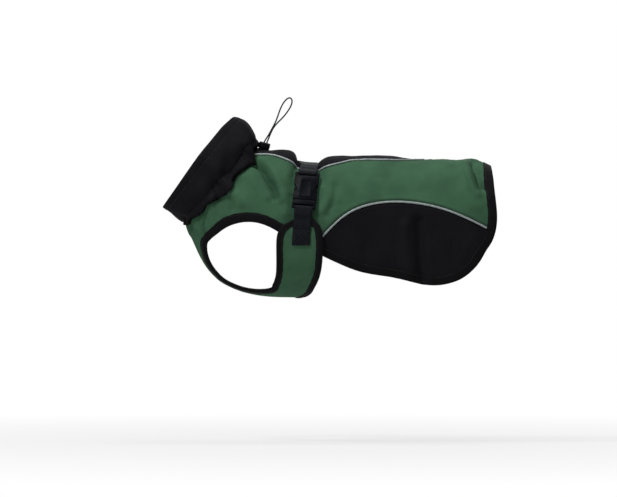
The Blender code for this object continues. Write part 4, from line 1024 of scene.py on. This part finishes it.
pieces["chest_panel"] = cloth("chest_cloth", chest, 1.2, 2 * math.pi - 1.2, green, wing_lift, 1.25, 2.6)

seam_end = crossing(inset(chest_seam, -0.25), lower_line)[1]
hem = between(lower_line, seam_end, len(lower_line) - 1.001)
hem = np.vstack([hem[:-1], [lower_line[-1]], (hem[:-1] * (1, -1))[::-1]])[::-1]
pieces["hem_binding"] = binding("hem_tape", hem, HEM_TAPE_W, tape, end_wide=CHEST_TAPE_W + 0.6)
seam_end = crossing(inset(chest_seam, 0.25), chest_edge[:200])[1]
edge = between(chest_line, seam_end, len(chest_line) - 1.001)
edge = np.vstack([edge[:-1], [chest_line[-1]], round_breast(edge[:-1])])
pieces["chest_binding"] = binding("chest_tape", edge, CHEST_TAPE_W, tape, wing_lift)


# Collar
COLLAR_FOLDS = (
    # height, half width in mm, then turn in degrees and mm up the collar
    (-2.4, 4.5, ((-31, 4), (-31, 16), (-34, 32))),
    (1.5, 7.0, ((-20, 96), (-45, 66), (-78, 40), (-100, 26))),
    (-1.3, 6.0, ((-32, 100), (-60, 74), (-92, 52), (-120, 40))),
    (1.2, 8.0, ((-70, 104), (-98, 84), (-126, 70))),
    (-1.2, 5.0, ((-118, 22), (-134, 40), (-150, 60))),
    (1.3, 6.0, ((-150, 96), (-164, 84), (-178, 88))),
    (1.5, 7.5, ((26, 96), (52, 62), (84, 42), (104, 30))),
    (-1.3, 6.5, ((40, 104), (70, 78), (100, 58))),
    (1.2, 8.0, ((86, 100), (112, 86), (136, 68))),
    (-1.2, 5.5, ((124, 26), (138, 44), (158, 58))),
)


def collar_rings(turns):
    """The outer face from the seam to the mouth: a row of points for each level."""
    seam = seam_run(turns)
    down = unit(np.cross([0, 1, 0], np.array([-93.2, 0, -104.5])))
    over = 1.5 + 0.55 * scallop(turns)
    bulge = 3.7 - 1.1 * smoothstep(np.abs(wrapped(turns)) - 2.1)
    rings = [skin(seam + 1.6, turns, -3.0), skin(seam - 0.7, turns, -1.1), skin(seam + over, turns, bulge)]
    bow = neck_run(turns)
    for k, row in enumerate(np.array(COLLAR)):
        ring = ring_point(np.repeat(row[None, :6], len(turns), axis=0), turns)
        out = unit(ring - ring.mean(axis=0))
        fade = (0.75, 0.4, 0.18, 0.1)[k]
        wave = 1.2 * np.cos(5 * turns + 0.8) + 0.8 * np.cos(3 * turns - 1.0) if k > 1 else 0
        rings.append(ring - down * (bow * row[6])[:, None] + out * (gather(turns) * fade + wave)[:, None])
    return np.array(rings)


def collar_grid(columns=480, step=1.6):
    """(levels in mm, turns, points, outward ways) of the collar's outer face."""
    turns = 2 * math.pi / columns * np.arange(columns)
    rings = collar_rings(turns)
    places = np.concatenate([[0], np.cumsum(np.linalg.norm(np.diff(rings, axis=0), axis=2).mean(axis=1))])
    at = spline(places, rings)
    seat = [np.linspace(places[0], places[1], 3)[:-1], np.linspace(places[1], places[2], 6)[:-1]]
    levels = np.concatenate(seat + [np.arange(places[2], places[-1] - step / 2, step), [places[-1]]])
    return levels, turns, at(levels), places


def facing(points):
    """Outward ways of a grid of points that closes on itself round the collar."""
    up = np.gradient(points, axis=0)
    side = np.roll(points, -1, axis=1) - np.roll(points, 1, axis=1)
    return unit(np.cross(side, up))


def collar_relief(levels, turns, places):
    up, turn = np.meshgrid(levels, turns, indexing="ij")
    above = up - places[2]
    out = np.zeros(up.shape)
    flat_turn = turn.ravel()
    out += 1.25 * pleats(np.maximum(above, 0).ravel() * 0.8, flat_turn).reshape(up.shape) * smoothstep(above / 2 + 0.6)
    # the drawcord's channel is a soft roll closed by a row of stitches
    puffy = 0.75 + 0.4 * np.sin(9 * turn + 0.8 * np.sin(4 * turn))
    out += 3.4 * np.exp(-((wrapped(turn) / 0.22) ** 2)) * np.exp(-(((above - 5.0) / 5.0) ** 2))
    out += 1.5 * puffy * np.exp(-(((above - 5.5) / 3.6) ** 2)) - 1.3 * np.exp(-(((above - 12.5) / 1.7) ** 2))
    out += 0.3 * np.sin(58 * turn + 3 * np.sin(7 * turn)) * np.exp(-(((above - 12.5) / 4.5) ** 2))
    across = wrapped(turn) * 57.0
    for high, half, line in COLLAR_FOLDS:
        path = eased([(math.radians(t) * 57.0, u) for t, u in line])
        away, along = near_line(across.ravel(), up.ravel(), path)
        fade = smoothstep(np.minimum(along, 1 - along) / 0.3 + 0.1)
        out += (high * np.exp(-((away / half) ** 2)) * fade).reshape(up.shape)
    top = places[-1] - up
    out += 0.35 * np.exp(-(((top - 4.5) / 3.5) ** 2)) - 0.45 * np.exp(-(((top - 10.5) / 1.3) ** 2))
    out += 0.2 * np.sin(61 * turn + 2 * np.sin(5 * turn)) * np.exp(-(((top - 10.0) / 4.0) ** 2))
    return out


def evened(ways, times_over=3):
    """Outward ways averaged with their neighbours, so that the inner face keeps clear of tight tucks."""
    for _ in range(times_over):
        ways = np.roll(ways, 1, axis=1) + 2 * ways + np.roll(ways, -1, axis=1)
        ways[1:-1] = ways[:-2] + 2 * ways[1:-1] + ways[2:]
        ways = unit(ways)
    return ways


def collar_cloth():
    levels, turns, face, places = collar_grid()
    high = collar_relief(levels, turns, places)
    outer = face + facing(face) * high[..., None]
    out = evened(facing(outer))
    # over the mouth's fold and down inside
    lip_up = unit(outer[-1] - outer[-3])
    middle = outer[-1] - out[-1] * CLOTH / 2
    fold = [middle + out[-1] * CLOTH / 2 * math.cos(a) + lip_up * CLOTH * 0.6 * math.sin(a) for a in (0.7, 1.57, 2.44)]
    within = (outer - out * CLOTH)[::-1]
    points = np.concatenate([outer, np.array(fold), within])
    count, size = points.shape[:2]
    faces, indices = [], []
    for i in range(count):
        j = (i + 1) % count
        for k in range(size):
            q = (k + 1) % size
            faces.append((i * size + k, i * size + q, j * size + q, j * size + k))
            indices.append(1 if len(levels) + 3 <= i < count - 11 else 0)
    up = np.concatenate([levels, levels[-1] + np.array([0.6, 1.2, 1.8]), levels[::-1] + 3])
    uv = np.stack(np.meshgrid(up, turns * 57.0, indexing="ij"), axis=-1).reshape(-1, 2)
    thing = new_object("collar_cloth", points.reshape(-1, 3), faces, [black, fleece], indices, uv)
    mark = thing.data.attributes.new("seam_mm", "FLOAT", "POINT")
    mark.data.foreach_set("value", np.full(count * size, 60.0, np.float32))
    return outward(thing), levels, outer, out, places


collar, collar_levels, collar_face, collar_out, collar_places = collar_cloth()
pieces["collar"] = collar


# Webbing and buckles
def strap_row(turn, highs, by=WEB_W / 2):
    """Underside of the webbing at a turn: its two edges and middle."""
    middle = np.array([[strap_run([turn])[0], turn]])
    offs = np.array([-by, 0, by]) / strap_scale([turn])
    return np.concatenate([skin(middle[:, 0] + off, middle[:, 1], highs) for off in offs])


def plain_surface(run, turn):
    """The cloth with the strap's pull and no creases, for what lies straight across it."""
    return base(run, turn) - normal(base, run, turn) * waist(run, turn)[:, None]


def buckle_frame(side):
    """Origin on the cloth under the buckle; columns run down the strap, along X and outward."""
    turn = on_side([(-0.8, -37.8)])[0, 1] * side
    turns = np.array([turn - 0.02 * side, turn, turn + 0.02 * side])
    line = plain_surface(strap_run(turns), turns)
    out = unit(normal(plain_surface, strap_run(turns)[1:2], turns[1:2])[0])
    down = unit(line[2] - line[0])
    down = unit(down - out * (down @ out))
    return line[1] + out * 1.0, np.column_stack([down, np.cross(out, down), out])


BAR_HIGH, BAR_TURN_R = 5.1, 2.35
FEMALE_BAR, MALE_BAR = -27.5, 25.5


def loop_rows(side, bar, start_row, tail):
    """Webbing from start_row over a bar, through its slot and back beneath itself."""
    centre, axes = buckle_frame(side)
    down, along, out = axes.T
    place = centre + down * bar + out * BAR_HIGH
    reach = start_row[1] - place
    long = float(np.linalg.norm(reach))
    way = unit(reach - along * (reach @ along))
    rise = unit(np.cross(way, along))
    rise = rise * math.copysign(1, rise @ out)
    flat = np.array([-1.0, 0.0, 1.0])[:, None] * along * WEB_W / 2
    if (start_row[2] - start_row[0]) @ along < 0:
        flat = flat[::-1]
    rows, outs = [], []
    for back in (long * 0.66, long * 0.33, 0.0):
        rows.append(place + way * back + rise * BAR_TURN_R + flat)
        outs.append(rise)
    for angle in range(20, 181, 20):
        a = math.radians(angle)
        spoke = rise * math.cos(a) - way * math.sin(a)
        rows.append(place + spoke * BAR_TURN_R + flat)
        outs.append(spoke)
    tuck = (
        (2.2, 4.6), (4.5, 4.4), (0.75 * (0.57 * tail + 1.5), 3.3),
        (0.57 * tail, 2.0), (0.8 * tail, 0.6), (tail, 0.5),
    )
    for back, gap in tuck:
        rows.append(place + way * back + rise * (BAR_TURN_R - gap) + flat)
        outs.append(-rise)
    return rows, outs


def webbing(name, rows, outs):
    """Webbing from rows of its inner face (edge, middle, edge) and the way its thickness goes."""
    rows, outs = np.array(rows), np.array(outs)
    place = np.concatenate([[0], np.cumsum(np.linalg.norm(np.diff(rows[:, 1], axis=0), axis=1))])
    steps = np.linspace(0, place[-1], int(place[-1] / 1.0) + 1)
    linear_at = lambda v: np.stack([np.interp(steps, place, v[..., c]) for c in range(3)], axis=-1)
    tracks = [linear_at(rows[:, k]) for k in range(3)]
    out = unit(linear_at(outs))
    for _ in range(3):
        for track in tracks + [out]:
            track[1:-1] = 0.25 * track[:-2] + 0.5 * track[1:-1] + 0.25 * track[2:]
    section = []
    across = np.linspace(-1, 1, 13)
    for layer in (0, 1):
        for u in across if layer == 0 else across[::-1]:
            middle = tracks[0] * (u * (u - 1) / 2) + tracks[1] * (1 - u * u) + tracks[2] * (u * (u + 1) / 2)
            edge = 1 - 0.35 * abs(u) ** 12
            thick = WEB_T * (0.5 + (0.5 if layer else -0.5) * edge) + 0.12 * layer * math.cos(u * 18)
            section.append(middle + out * thick)
    return swept(name, np.stack(section, axis=1), nylon, steps)


def on_cloth(turns, highs):
    rows = [strap_row(t, h) for t, h in zip(turns, highs)]
    return rows, [normal(shaped, strap_run([t]), np.array([t]))[0] for t in turns]


rows, outs = on_cloth(np.linspace(-0.2, 0.2, 13), np.full(13, 0.5))
right_rows, right_outs = loop_rows(1, FEMALE_BAR, rows[-1], 17.0)
left_rows, left_outs = loop_rows(-1, FEMALE_BAR, rows[0], 17.0)
back_rows, back_outs = left_rows[::-1] + rows + right_rows, left_outs[::-1] + outs + right_outs
pieces["back_strap"] = webbing("back_webbing", back_rows, back_outs)
WING_STRAP = ((-4.3, -76.5), (-4.9, -87.5), (-5.3, -92.5), (-5.7, -99), (-6.2, -106), (-6.5, STRAP_END_Z))
wing_turns = on_side(WING_STRAP)
wing_highs = np.array([WING_LIFT + 1.75] * 2 + [WING_LIFT + 0.5] * 4)
for side, word in ((1, "right"), (-1, "left")):
    rows, outs = on_cloth(wing_turns[:, 1] * side, wing_highs)
    loop, loop_outs = loop_rows(side, MALE_BAR, rows[0], 9.0)
    pieces[f"wing_strap_{word}"] = webbing(f"wing_webbing_{word}", rows[::-1] + loop, outs[::-1] + loop_outs)

# Elastic drawcord: up through the lock, a free loop, and back down
CORD_R = 0.0011
CORD = (
    (-0.0621, 0.0, 0.0206), (-0.0616, 0.0, 0.0230), (-0.0606, 0.0, 0.0270), (-0.0593, 0.0, 0.0312),
    (-0.0567, -0.0006, 0.0360), (-0.0535, -0.0012, 0.0410), (-0.0499, -0.0016, 0.0472),
    (-0.0463, -0.0018, 0.0539), (-0.0428, -0.0018, 0.0608), (-0.0402, -0.0014, 0.0675),
    (-0.0379, -0.0009, 0.0740), (-0.0358, -0.0004, 0.0796), (-0.0328, 0.0, 0.0856),
    (-0.0290, 0.0001, 0.0908), (-0.0252, 0.0001, 0.0939), (-0.0219, 0.0001, 0.0942),
    (-0.0200, 0.0001, 0.0916), (-0.0200, 0.0001, 0.0873), (-0.0220, 0.0003, 0.0817),
    (-0.0257, 0.0007, 0.0757), (-0.0306, 0.0012, 0.0692), (-0.0363, 0.0016, 0.0632),
    (-0.0414, 0.0018, 0.0580), (-0.0454, 0.0017, 0.0530), (-0.0484, 0.0014, 0.0476),
    (-0.0508, 0.0009, 0.0422), (-0.0529, 0.0004, 0.0368), (-0.0549, 0.0, 0.0318),
    (-0.0566, 0.0, 0.0260), (-0.0580, 0.0, 0.0206),
)
line = bpy.data.curves.new("drawcord", "CURVE")
line.dimensions = "3D"
line.bevel_depth, line.bevel_resolution, line.resolution_u, line.use_fill_caps = CORD_R, 3, 4, True
route = line.splines.new("BEZIER")
route.bezier_points.add(len(CORD) - 1)
for point, spot in zip(route.bezier_points, CORD):
    point.co, point.handle_left_type, point.handle_right_type = spot, "AUTO", "AUTO"
line.materials.append(elastic)
drawcord = bpy.data.objects.new("drawcord", line)
bpy.context.scene.collection.objects.link(drawcord)
pieces["drawcord_loop"] = drawcord


# Hard parts, each made in its own place (down the strap, along X, outward) and then set on the coat
def block(name, low, high):
    """A block between two corners in millimetres."""
    low, high = Vector(low), Vector(high)
    bpy.ops.object.select_all(action="DESELECT")
    bpy.ops.mesh.primitive_cube_add(size=1.0, location=(low + high) / 2 * MM, scale=(high - low) * MM)
    thing = bpy.context.object
    thing.name = name
    bpy.ops.object.transform_apply(location=True, rotation=True, scale=True)
    return thing


def barrel(name, middle, radius, depth, turn=(0, 0, 0), sides=32):
    bpy.ops.object.select_all(action="DESELECT")
    bpy.ops.mesh.primitive_cylinder_add(
        vertices=sides, radius=radius * MM, depth=depth * MM, location=Vector(middle) * MM, rotation=turn
    )
    thing = bpy.context.object
    thing.name = name
    bpy.ops.object.transform_apply(location=True, rotation=True, scale=True)
    return thing


def pick(thing, test):
    """Selects the points whose place in mm passes the test, in edit mode."""
    mesh = bmesh.from_edit_mesh(thing.data)
    mesh.select_mode = {"VERT"}
    for v in mesh.verts:
        v.select = bool(test(*(v.co / MM)))
    mesh.select_flush_mode()
    bmesh.update_edit_mesh(thing.data)


def rings(thing, axis, places):
    """Cuts rings of edges round the piece at these places along an axis."""
    way = Vector([float(i == axis) for i in range(3)])
    bpy.context.view_layer.objects.active = thing
    bpy.ops.object.mode_set(mode="EDIT")
    for place in places:
        bpy.ops.mesh.select_all(action="SELECT")
        bpy.ops.mesh.bisect(plane_co=way * place * MM, plane_no=way)
    bpy.ops.object.mode_set(mode="OBJECT")


def drawn(thing, changes):
    """Scales (factors) or moves (mm) groups of points: rows of test, kind and values."""
    bpy.context.view_layer.objects.active = thing
    bpy.ops.object.mode_set(mode="EDIT")
    for test, kind, values in changes:
        pick(thing, test)
        if kind == "scale":
            bpy.ops.transform.resize(value=values, center_override=(0, 0, 0))
        else:
            bpy.ops.transform.translate(value=Vector(values) * MM)
    bpy.ops.object.mode_set(mode="OBJECT")


def finished(thing, kind, name="shape", **settings):
    """Adds a modifier with its settings and applies it."""
    bpy.ops.object.select_all(action="DESELECT")
    thing.select_set(True)
    bpy.context.view_layer.objects.active = thing
    change = thing.modifiers.new(name, kind)
    for key, value in settings.items():
        setattr(change, key, value)
    bpy.ops.object.modifier_apply(modifier=change.name)
    return thing


def rounded(thing, width, segments=3, angle=35):
    return finished(
        thing, "BEVEL", width=width * MM, segments=segments, limit_method="ANGLE", angle_limit=math.radians(angle)
    )


def joined(thing, other, kind="UNION"):
    finished(thing, "BOOLEAN", operation=kind, solver="EXACT", object=other)
    bpy.data.objects.remove(other)
    return thing


def seated(thing, centre, axes, name=None):
    """The piece, or a copy of it under another name, moved to its seat with its place in its mesh."""
    if name:
        thing = bpy.data.objects.new(name, thing.data.copy())
        bpy.context.scene.collection.objects.link(thing)
    thing.data.transform(Matrix([[*axes[i], centre[i] * MM] for i in range(3)] + [[0, 0, 0, 1]]))
    thing.data.materials.clear()
    thing.data.materials.append(plastic)
    bpy.ops.object.select_all(action="DESELECT")
    thing.select_set(True)
    bpy.context.view_layer.objects.active = thing
    bpy.ops.object.shade_smooth_by_angle(angle=math.radians(35))
    return thing


def socket_half():
    """The housing: waisted at its windows, crowned, with a sunk face, and a bar for the webbing."""
    body = block("socket", (-23.2, -17, 0.8), (14, 17, 9.3))
    waisted = {-23.2: 0.94, -20.5: 1.0, -10.5: 0.985, -8.2: 0.925, -5.6: 0.835, -2.4: 0.79, 0.8: 0.835,
               3.4: 0.925, 5.8: 0.985, 14.0: 0.97}
    rings(body, 0, list(waisted)[1:-1])
    rings(body, 1, (-12.5, -8.5, 8.5, 12.5))
    drawn(body, [(lambda u, v, w, at=at: abs(u - at) < 0.05, "scale", (1, by, 1)) for at, by in waisted.items()])
    drawn(body, [
        (lambda u, v, w: w > 5 and abs(v) > 11.5, "move", (0, 0, -1.5)),
        (lambda u, v, w: w > 5 and abs(v) < 11.5 and u < -22, "move", (0, 0, -0.9)),
        (lambda u, v, w: w > 5 and abs(v) < 11.5 and u > 13, "move", (0, 0, -0.6)),
    ])
    rounded(body, 1.15, 4, 24)
    sunk = block("sunk_face", (-16.5, -7.2, 8.75), (8.6, 7.2, 12))
    joined(body, rounded(sunk, 2.2, 4), "DIFFERENCE")
    joined(body, rounded(block("socket_arms", (-29.1, -17, 3.5), (-20, 17, 6.7)), 1.3, 4))
    joined(body, rounded(block("socket_slot", (-26.2, -13.2, 0), (-23.3, 13.2, 9)), 0.7, 2), "DIFFERENCE")
    joined(body, rounded(block("socket_hollow", (-18, -13.4, 2.6), (18, 13.4, 7.2)), 0.5, 2), "DIFFERENCE")
    joined(body, rounded(block("socket_windows", (-9.6, -20, 2.7), (4.9, 20, 7.1)), 1.3, 3), "DIFFERENCE")
    return body


def plug_half():
    """The plug: a crowned head with the webbing's bar, two sprung prongs with ribbed buttons, and a guide."""
    body = block("plug", (14.4, -17, 0.8), (21.4, 17, 9.3))
    rings(body, 1, (-12.5, -8.5, 8.5, 12.5))
    drawn(body, [
        (lambda u, v, w: u > 20, "scale", (1, 0.955, 1)),
        (lambda u, v, w: u < 15, "scale", (1, 0.97, 1)),
        (lambda u, v, w: w > 5 and abs(v) > 11.5, "move", (0, 0, -1.5)),
        (lambda u, v, w: w > 5 and abs(v) < 11.5 and u > 20, "move", (0, 0, -0.8)),
        (lambda u, v, w: w > 5 and abs(v) < 11.5 and u < 15, "move", (0, 0, -0.6)),
    ])
    rounded(body, 1.1, 4, 24)
    joined(body, rounded(block("plug_arms", (19.6, -16.6, 3.5), (27.1, 16.6, 6.7)), 1.3, 4))
    joined(body, rounded(block("plug_slot", (21.3, -13.2, 0), (24.2, 13.2, 9)), 0.7, 2), "DIFFERENCE")
    for side in (-1, 1):
        prong = block("prong", (-9.4, 10.2, 3.2), (17, 12.6, 6.7))
        rings(prong, 0, (-6.6, -4.2, -1.8, 0.8, 3.6, 6.5, 10))
        bulge = {-9.4: -0.6, -6.6: 2.2, -4.2: 3.2, -1.8: 3.5, 0.8: 3.1, 3.6: 1.4, 6.5: 0.2}
        drawn(prong, [
            (lambda u, v, w, at=at: abs(u - at) < 0.05 and v > 11.5, "move", (0, out, 0)) for at, out in bulge.items()
        ])
        rounded(prong, 0.55, 3)
        for at in (-5.4, -3.2, -1.0, 1.2):
            rib = barrel("rib", (at, 16.6, 5), 0.55, 6, sides=12)
            joined(prong, rib, "DIFFERENCE")
        if side < 0:
            drawn(prong, [(lambda u, v, w: True, "scale", (1, -1, 1))])
            bpy.ops.object.mode_set(mode="EDIT")
            bpy.ops.mesh.select_all(action="SELECT")
            bpy.ops.mesh.normals_make_consistent(inside=False)
            bpy.ops.object.mode_set(mode="OBJECT")
        joined(body, prong)
    guide = block("guide", (-4, -2.5, 3.3), (16, 2.5, 6.6))
    drawn(guide, [(lambda u, v, w: u < -3, "scale", (1, 0.5, 1))])
    joined(body, rounded(guide, 0.6, 2))
    return body


socket, plug = socket_half(), plug_half()
for side, word in ((-1, "left"), (1, "right")):
    centre, axes = buckle_frame(side)
    pieces[f"buckle_female_{word}"] = seated(socket, centre, axes, f"buckle_socket_{word}")
    pieces[f"buckle_male_{word}"] = seated(plug, centre, axes, f"buckle_plug_{word}")
bpy.data.objects.remove(socket)
bpy.data.objects.remove(plug)

LOCK_AT = (-58.7, 0.0, 27.0)
tip = math.radians(15)
lock_axes = np.array([[math.cos(tip), 0, math.sin(tip)], [0, 1, 0], [-math.sin(tip), 0, math.cos(tip)]])
lock = block("cord_lock", (-8, -7.5, -4.8), (8, 9, 4.8))
rings(lock, 1, (-4.5, 0.75, 6))
drawn(lock, [
    (lambda u, v, w: v < -7, "scale", (0.9, 1, 0.9)),
    (lambda u, v, w: v > 8.5, "scale", (0.78, 1, 0.78)),
    (lambda u, v, w: 0 < v < 1.5, "scale", (0.95, 1, 1)),
])
rounded(lock, 1.9, 5, 25)
joined(lock, rounded(block("lock_bore", (-5.4, -10, -2.9), (5.4, 7, 2.9)), 1.2, 3), "DIFFERENCE")
hole = rounded(block("lock_hole", (-3.9, -1.75, -9), (3.9, 1.75, 9)), 1.5, 4)
joined(lock, hole, "DIFFERENCE")
for at in (-3.6, -1.2, 1.2, 3.6):
    for side in (-1, 1):
        joined(lock, barrel("lock_rib", (8.3 * side, at + 0.8, 0), 0.6, 12, sides=12), "DIFFERENCE")
pieces["cord_lock_body"] = seated(lock, LOCK_AT, lock_axes)
button = block("lock_button", (-6.4, -13.7, -3.9), (6.4, -10.7, 3.9))
drawn(button, [(lambda u, v, w: v < -13, "scale", (0.86, 1, 0.82))])
rounded(button, 1.0, 4, 20)
stem = block("lock_stem", (-5.0, -11.5, -2.5), (5.0, 3.2, 2.5))
joined(button, rounded(stem, 0.9, 3))
joined(button, rounded(block("stem_hole", (-3.9, -4.6, -8), (3.9, 1.55, 8)), 1.2, 4), "DIFFERENCE")
for at in (-2.6, 0, 2.6):
    joined(button, barrel("button_rib", (at, -14.0, 0), 0.55, 5, sides=12), "DIFFERENCE")
pieces["cord_lock_plunger"] = seated(button, LOCK_AT, lock_axes)

# Sewing
seams = {"green": [], "black": []}
for side in (1, -1):
    mirror = (1, side)
    seams["green"].append(stitch_on_skin("row", inset(spine_pipe, 3.4) * mirror, green_thread, 0.42))
    seams["green"].append(stitch_on_skin("row", inset(flank_pipe, -3.4) * mirror, green_thread, 0.42))
    seams["green"].append(stitch_on_skin("row", inset(chest_seam, 2.8)[6:-8] * mirror, green_thread, 0.05))
    turns = wing_turns[:, 1] * side
    low, high = np.interp([-94.0, -111.0], [row[1] for row in WING_STRAP][::-1], turns[::-1])
    box = ((low, -9.5), (low, 9.5), (high, 9.5), (high, -9.5), (low, -9.5), (high, 9.5))
    for path in (box, ((low, 9.5), (high, -9.5))):
        for (turn_a, off_a), (turn_b, off_b) in zip(path[:-1], path[1:]):
            turn, off = np.linspace(turn_a, turn_b, 24), np.linspace(off_a, off_b, 24)
            run = strap_run(turn) + off / strap_scale(turn)
            face = skin(run, turn, WING_LIFT + 0.5 + WEB_T + 0.02)
            seams["black"].append(stitches("row", face, normal(shaped, run, turn), black_thread, 2.6, 2.0))
hem_row = inset(hem, HEM_TAPE_W - 2.2)
seams["black"].append(stitch_on_skin("row", hem_row, black_thread, 0.86))
chest_row = inset(edge, CHEST_TAPE_W - 2.2)
seams["black"].append(stitch_on_skin("row", chest_row, black_thread, lambda r, t: wing_lift(r, t) + 0.86))
for level in (collar_places[2] + 12.5, collar_places[-1] - 10.5):
    at = [
        np.apply_along_axis(lambda v: np.interp(level, collar_levels, v), 0, grid)
        for grid in (collar_face, collar_out)
    ]
    at = [np.vstack([rows, rows[:1]]) for rows in at]
    seams["black"].append(stitches("row", at[0], at[1], black_thread))
for rows in (right_rows, left_rows):
    way, across = unit(rows[0][1] - rows[2][1]), rows[2][2] - rows[2][0]
    out = unit(np.cross(across, way))
    out = out * math.copysign(1, out @ (rows[2][1] - rows[-1][1]))
    for back in (13.2, 14.2, 15.2):
        middle = rows[2][1] + way * back + out * (WEB_T + 0.1)
        tack = middle + np.linspace(-0.4, 0.4, 12)[:, None] * across
        seams["black"].append(stitches("row", tack, np.tile(out, (12, 1)), black_thread, 1.9, 1.7))
for colour, rows in seams.items():
    bpy.ops.object.select_all(action="DESELECT")
    for row in rows:
        row.select_set(True)
    bpy.context.view_layer.objects.active = rows[0]
    bpy.ops.object.join()
    rows[0].name = f"{colour}_stitching"
    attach(rows[0], "coat")

for cad_node, piece in pieces.items():
    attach(piece, "lock_plunger" if cad_node == "cord_lock_plunger" else "coat")
    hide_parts(cad_node)

# Studio
# White paper that fades into the white wall 1.3 m out, so that no edge of the floor shows
FADE_FROM, FADE_TO = 0.3, 1.3  # m out from the middle
WHITE_AT_START = 0.72  # share of plain white where the fade starts
FLOOR_Z = -0.392
FLOOR_WIDE = 6.0
studio, tree, shader = new_material("matt_studio_paper", Roughness=0.9)
shader.inputs["Base Color"].default_value = linear("#d6d6d6")
spot = node(tree, "TexCoord").outputs["Object"]
away = node(tree, "VectorMath", {0: spot}, operation="LENGTH").outputs["Value"]
fading = {0: away, 1: FADE_FROM, 2: FADE_TO, 3: WHITE_AT_START, 4: 1.0}
fade = node(tree, "MapRange", fading).outputs[0]
seen = node(tree, "LightPath").outputs["Is Camera Ray"]
white = node(tree, "Emission", {"Color": (1, 1, 1, 1), "Strength": 1.0})
share = node(tree, "Math", {0: fade, 1: seen}, operation="MULTIPLY").outputs[0]
paper = node(tree, "MixShader", {0: share, 1: shader.outputs[0], 2: white.outputs[0]})
tree.links.new(paper.outputs[0], tree.nodes["Material Output"].inputs["Surface"])
bpy.ops.mesh.primitive_plane_add(size=FLOOR_WIDE, location=(0, 0, FLOOR_Z))
floor = bpy.context.object
floor.name = "studio_floor"
floor.data.materials.append(studio)


def softbox(name, place, aim, size, power):
    """A square soft light that points at a spot."""
    light = bpy.data.lights.new(name, "AREA")
    light.size, light.energy = size, power
    lamp = bpy.data.objects.new(name, light)
    lamp.location = place
    lamp.rotation_euler = (Vector(aim) - Vector(place)).to_track_quat("-Z", "Y").to_euler()
    bpy.context.scene.collection.objects.link(lamp)


# name, place in m, size in m, W
LIGHTS = (
    ("key_softbox", (-1.0, -1.1, 1.8), 0.4, 30),
    ("top_softbox", (0.3, -0.3, 2.2), 1.0, 23),
    ("fill_softbox", (-1.4, -2.2, -0.3), 1.2, 7),
    ("back_softbox", (0.4, 2.2, 0.9), 1.4, 10),
)
LIT_SPOT = (0, 0, -0.1)
for lamp_name, place, size_m, watts in LIGHTS:
    softbox(lamp_name, place, LIT_SPOT, size_m, watts)
WORLD_LIGHT = 0.17
world = bpy.data.worlds.new("pale_studio")
bpy.context.scene.world = world
world.use_nodes = True
sky = world.node_tree.nodes["Background"]
sky.inputs["Color"].default_value = (1, 1, 1, 1)
sky.inputs["Strength"].default_value = WORLD_LIGHT
wall = node(world.node_tree, "Background", {"Color": (1, 1, 1, 1), "Strength": 1.0})
straight = node(world.node_tree, "LightPath").outputs["Is Camera Ray"]
both = node(world.node_tree, "MixShader", {0: straight, 1: sky.outputs[0], 2: wall.outputs[0]})
world.node_tree.links.new(both.outputs[0], world.node_tree.nodes["World Output"].inputs["Surface"])
bpy.context.scene.view_settings.view_transform = "Standard"

VIEW_WIDE = 617 * 0.0014  # m across the view at the coat
camera = bpy.data.cameras.new("product_camera")
camera.lens, camera.sensor_width = 300.0, 36.0
eye = bpy.data.objects.new("product_camera", camera)
aim = Vector((0.0035, -0.040, -0.1176))
far = VIEW_WIDE * camera.lens / camera.sensor_width
eye.location = aim + Vector((0, -far, 0))
eye.rotation_euler = (math.pi / 2, 0, 0)
bpy.context.scene.collection.objects.link(eye)
bpy.context.scene.camera = eye
